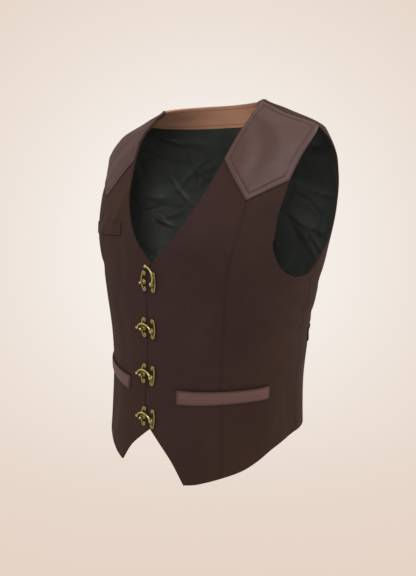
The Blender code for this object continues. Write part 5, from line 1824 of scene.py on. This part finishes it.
class VEST_OT_cinch(bpy.types.Operator):
    """Runs the cinch straps round the back to their brass slide"""
    bl_idname = "vest.cinch"
    bl_label = "Back cinch"

    def execute(self, context):
        first, last = STRAP_COLUMNS
        ends = back_grids(LEFT_ARM, 1)[BACK_STRAP][0, first:last + 1, 0]
        columns = np.linspace(ends[0], ends[-1], STRAP_STEPS)
        jobs = (("left", SLIDE_BAR, SLIDE_BAR + SLIDE_EASE, LEFT_TAIL_END, 1),
                ("right", 0, SLIDE_BAR + SLIDE_WIRE + SLIDE_EASE, RIGHT_TAIL_END, -1))
        for word, turn, tail_start, tail_end, half in jobs:
            mesh = self.strap(f"strap_{word}_twill", columns, turn, tail_start, tail_end, half)
            finish_piece(mesh, finish_of(twill_finish), f"strap_{word}")
            rows = []
            for height in (STRAP_LOW + STRAP_STITCH, STRAP_HIGH - STRAP_STITCH):
                line = np.array([(angle, height) for angle in columns[1:-1]])
                lift = STRAP_LIFT + WEBBING / MM / 2 - STRAP_STITCH_DEPTH
                rows.append(stitch_row(line, half, lift * MM))
            stitch_piece(f"strap_{word}_stitches", rows)
        self.slide()
        return {"FINISHED"}

    def strap(self, name, columns, turn, tail_start, tail_end, half):
        """A strap round the back, its free end folded round one of the slide's bars."""
        route = np.array(strap_route(turn, tail_start, tail_end))
        run, steps = even_steps(route, STRAP_STEP)
        route = np.stack([np.interp(steps, run, route[:, k]) for k in range(2)], -1)
        along = unit(np.gradient(route, axis=0))
        up = np.stack([along[:, 1], -along[:, 0]], -1)
        middle = (STRAP_LOW + STRAP_HIGH) / 2
        heights = np.linspace(STRAP_LOW, STRAP_HIGH, STRAP_WIDTH_STEPS)
        across = np.abs(np.linspace(-1, 1, STRAP_WIDTH_STEPS))
        thick = WEBBING / MM / 2 * (1 - STRAP_EDGE_THINNING * across ** 6)
        skins = []
        for sign in (-1, 1):
            rows = []
            for height, reach in zip(heights, thick):
                near = route + up * reach * sign
                angles = [*columns, *(back_angle(place, middle) for place, _ in near)]
                lifts = [*(STRAP_LIFT + reach * sign for _ in columns), *near[:, 1]]
                line = np.array([(angle, height) for angle in angles])
                rows.append(dressed(line, np.array(lifts) * MM, half))
            skins.append(np.concatenate(rows))
        faces = [face[::half] for face in quad_faces(len(heights), len(angles))]
        mesh = closed_wall(name, *skins, [tuple(face) for face in faces])
        # Painted shade: the strap's long edges are darkened where they meet the cloth
        stain = np.zeros((len(heights), len(angles)))
        stain[[0, -1]] = STRAP_EDGE_SHADE
        add_stain(mesh, np.tile(stain.ravel(), 2))
        return mesh

    def slide(self):
        """The slide: a rounded wire frame with a bar across its middle."""
        corners = []
        for quarter, (x, y) in enumerate(((1, 1), (-1, 1), (-1, -1), (1, -1))):
            for bend in pi / 2 * (quarter + np.linspace(0, 1, SLIDE_CORNER_STEPS)):
                corners.append((x * (SLIDE_BAR - SLIDE_CORNER) + SLIDE_CORNER * cos(bend),
                                y * (SLIDE_RAIL - SLIDE_CORNER) + SLIDE_CORNER * sin(bend), SLIDE_LIFT))
        size = SLIDE_WIRE * 2
        bar = [(0, y, SLIDE_LIFT) for y in np.linspace(-SLIDE_RAIL, SLIDE_RAIL, SLIDE_BAR_STEPS)]
        thin = size * BAR_SHARE
        rings = [(tube(corners, size, size, closed=True), True), (tube(bar, thin, thin), False)]
        mesh = metal_mesh("slide_brass", rings, surface_frame(180, (STRAP_LOW + STRAP_HIGH) / 2))
        finish_piece(mesh, finish_of(brass_finish), "strap_slide", sharp=METAL_SHARP)


class VEST_OT_plates(bpy.types.Operator):
    """Nails on the scrolled plates of the four clasps, with their posts and pivots"""
    bl_idname = "vest.plates"
    bl_label = "Clasp plates"

    def execute(self, context):
        for number, spot in enumerate(CLASP_SPOTS, start=1):
            for word, rings in (("post_plate", post_plate_rings()), ("pivot_plate", pivot_plate_rings())):
                mesh = metal_mesh(f"{word}_{number}_brass", rings, surface_frame(*spot))
                finish_piece(mesh, finish_of(brass_finish), f"{word}_{number}", sharp=METAL_SHARP)
        return {"FINISHED"}


class VEST_OT_hooks(bpy.types.Operator):
    """Hangs the four swing hooks on their pivots, the top one swung open"""
    bl_idname = "vest.hooks"
    bl_label = "Swing hooks"

    def execute(self, context):
        eye_lift = CLASP_SEAT + FOOT_DEPTH + PIN_CLEARANCE + EYE_DEPTH / 2
        for number, spot in enumerate(CLASP_SPOTS, start=1):
            swing = radians(OPEN_ANGLE) if number == OPEN_CLASP else 0.0
            place = Matrix.Translation((*PIVOT_PLACE, eye_lift)) @ Matrix.Rotation(-swing, 4, "Z")
            rings = []
            for shape, closed in hook_rings():
                moved = [[tuple(place @ Vector(point)) for point in ring] for ring in shape]
                rings.append((np.array(moved), closed))
            mesh = metal_mesh(f"swing_hook_{number}_brass", rings, surface_frame(*spot))
            finish_piece(mesh, finish_of(brass_finish), f"swing_hook_{number}", f"hook_{number}",
                         METAL_SHARP)
        return {"FINISHED"}


class VEST_OT_stage(bpy.types.Operator):
    """Sets the cream backdrop, the soft lights and the camera"""
    bl_idname = "vest.stage"
    bl_label = "Stage"

    def execute(self, context):
        look = stage_settings()
        profile = [(BOWL_MIDDLE, FLOOR), (BOWL_RADIUS - BOWL_BEND, FLOOR)]
        for bend in np.linspace(0, pi / 2, BOWL_STEPS)[1:]:
            profile.append((BOWL_RADIUS - BOWL_BEND + BOWL_BEND * sin(bend),
                            FLOOR + BOWL_BEND - BOWL_BEND * cos(bend)))
        profile.append((BOWL_RADIUS, BOWL_TOP))
        points = turned(profile, (0, 0), BOWL_SIDES).reshape(-1, 3).tolist()
        mesh = bpy.data.meshes.new("backdrop")
        mesh.from_pydata(points, [], [face[::-1] for face in ring_quads(len(profile), BOWL_SIDES)])
        mesh.materials.append(backdrop_finish())
        mesh.shade_smooth()
        bowl = linked("backdrop", mesh)
        bowl.visible_diffuse = False
        bowl.visible_glossy = False

        for name, spot, size, power, colour in LIGHTS:
            lamp = bpy.data.lights.new(name, "AREA")
            lamp.shape = "DISK"
            lamp.size = size
            lamp.energy = power * look.key_power
            lamp.color = colour
            self.aim(linked(name, lamp), Vector(spot))
        world = bpy.data.worlds.new("soft_room")
        world.use_nodes = True
        world.node_tree.nodes["Background"].inputs["Color"].default_value = ROOM_COLOUR
        world.node_tree.nodes["Background"].inputs["Strength"].default_value = ROOM_LIGHT
        context.scene.world = world

        lens = bpy.data.cameras.new("photo_camera")
        lens.sensor_width = SENSOR_WIDTH
        lens.lens = look.lens
        camera = linked("photo_camera", lens)
        self.aim(camera, Vector(VIEW_CENTRE) + Vector(CAMERA_BACK) * CAMERA_DISTANCE)
        context.scene.camera = camera
        context.scene.view_settings.view_transform = "Standard"
        return {"FINISHED"}

    def aim(self, item, spot):
        """Puts a light or the camera at a spot, looking at the vest's middle."""
        item.location = spot
        item.rotation_euler = (Vector(VIEW_CENTRE) - spot).to_track_quat("-Z", "Y").to_euler()


OPERATORS = (VEST_OT_fronts, VEST_OT_back, VEST_OT_lining, VEST_OT_yokes, VEST_OT_welts, VEST_OT_neck_band,
             VEST_OT_edges, VEST_OT_cinch, VEST_OT_plates, VEST_OT_hooks, VEST_OT_stage)


class VEST_PT_steps(bpy.types.Panel):
    """Sizes, colours and steps of the vest"""
    bl_idname = "VEST_PT_steps"
    bl_label = "Steampunk Vest"
    bl_space_type = "VIEW_3D"
    bl_region_type = "UI"
    bl_category = "Vest"

    def draw(self, context):
        for group in (vest_settings(), clasp_settings(), stage_settings()):
            box = self.layout.box()
            for key in group.bl_rna.properties.keys():
                if key not in ("name", "rna_type"):
                    box.prop(group, key)
        for operator in OPERATORS:
            self.layout.operator(operator.bl_idname)


CLASSES = (VestSettings, ClaspSettings, StageSettings, *OPERATORS, VEST_PT_steps)


def register():
    for item in CLASSES:
        bpy.utils.register_class(item)
    bpy.types.Scene.vest_cloth = bpy.props.PointerProperty(type=VestSettings)
    bpy.types.Scene.vest_clasps = bpy.props.PointerProperty(type=ClaspSettings)
    bpy.types.Scene.vest_stage = bpy.props.PointerProperty(type=StageSettings)


def unregister():
    for name in ("vest_stage", "vest_clasps", "vest_cloth"):
        delattr(bpy.types.Scene, name)
    for item in reversed(CLASSES):
        bpy.utils.unregister_class(item)


def main():
    register()
    for operator in OPERATORS:
        group, name = operator.bl_idname.split(".")
        getattr(getattr(bpy.ops, group), name)()


if __name__ == "__main__":
    main()
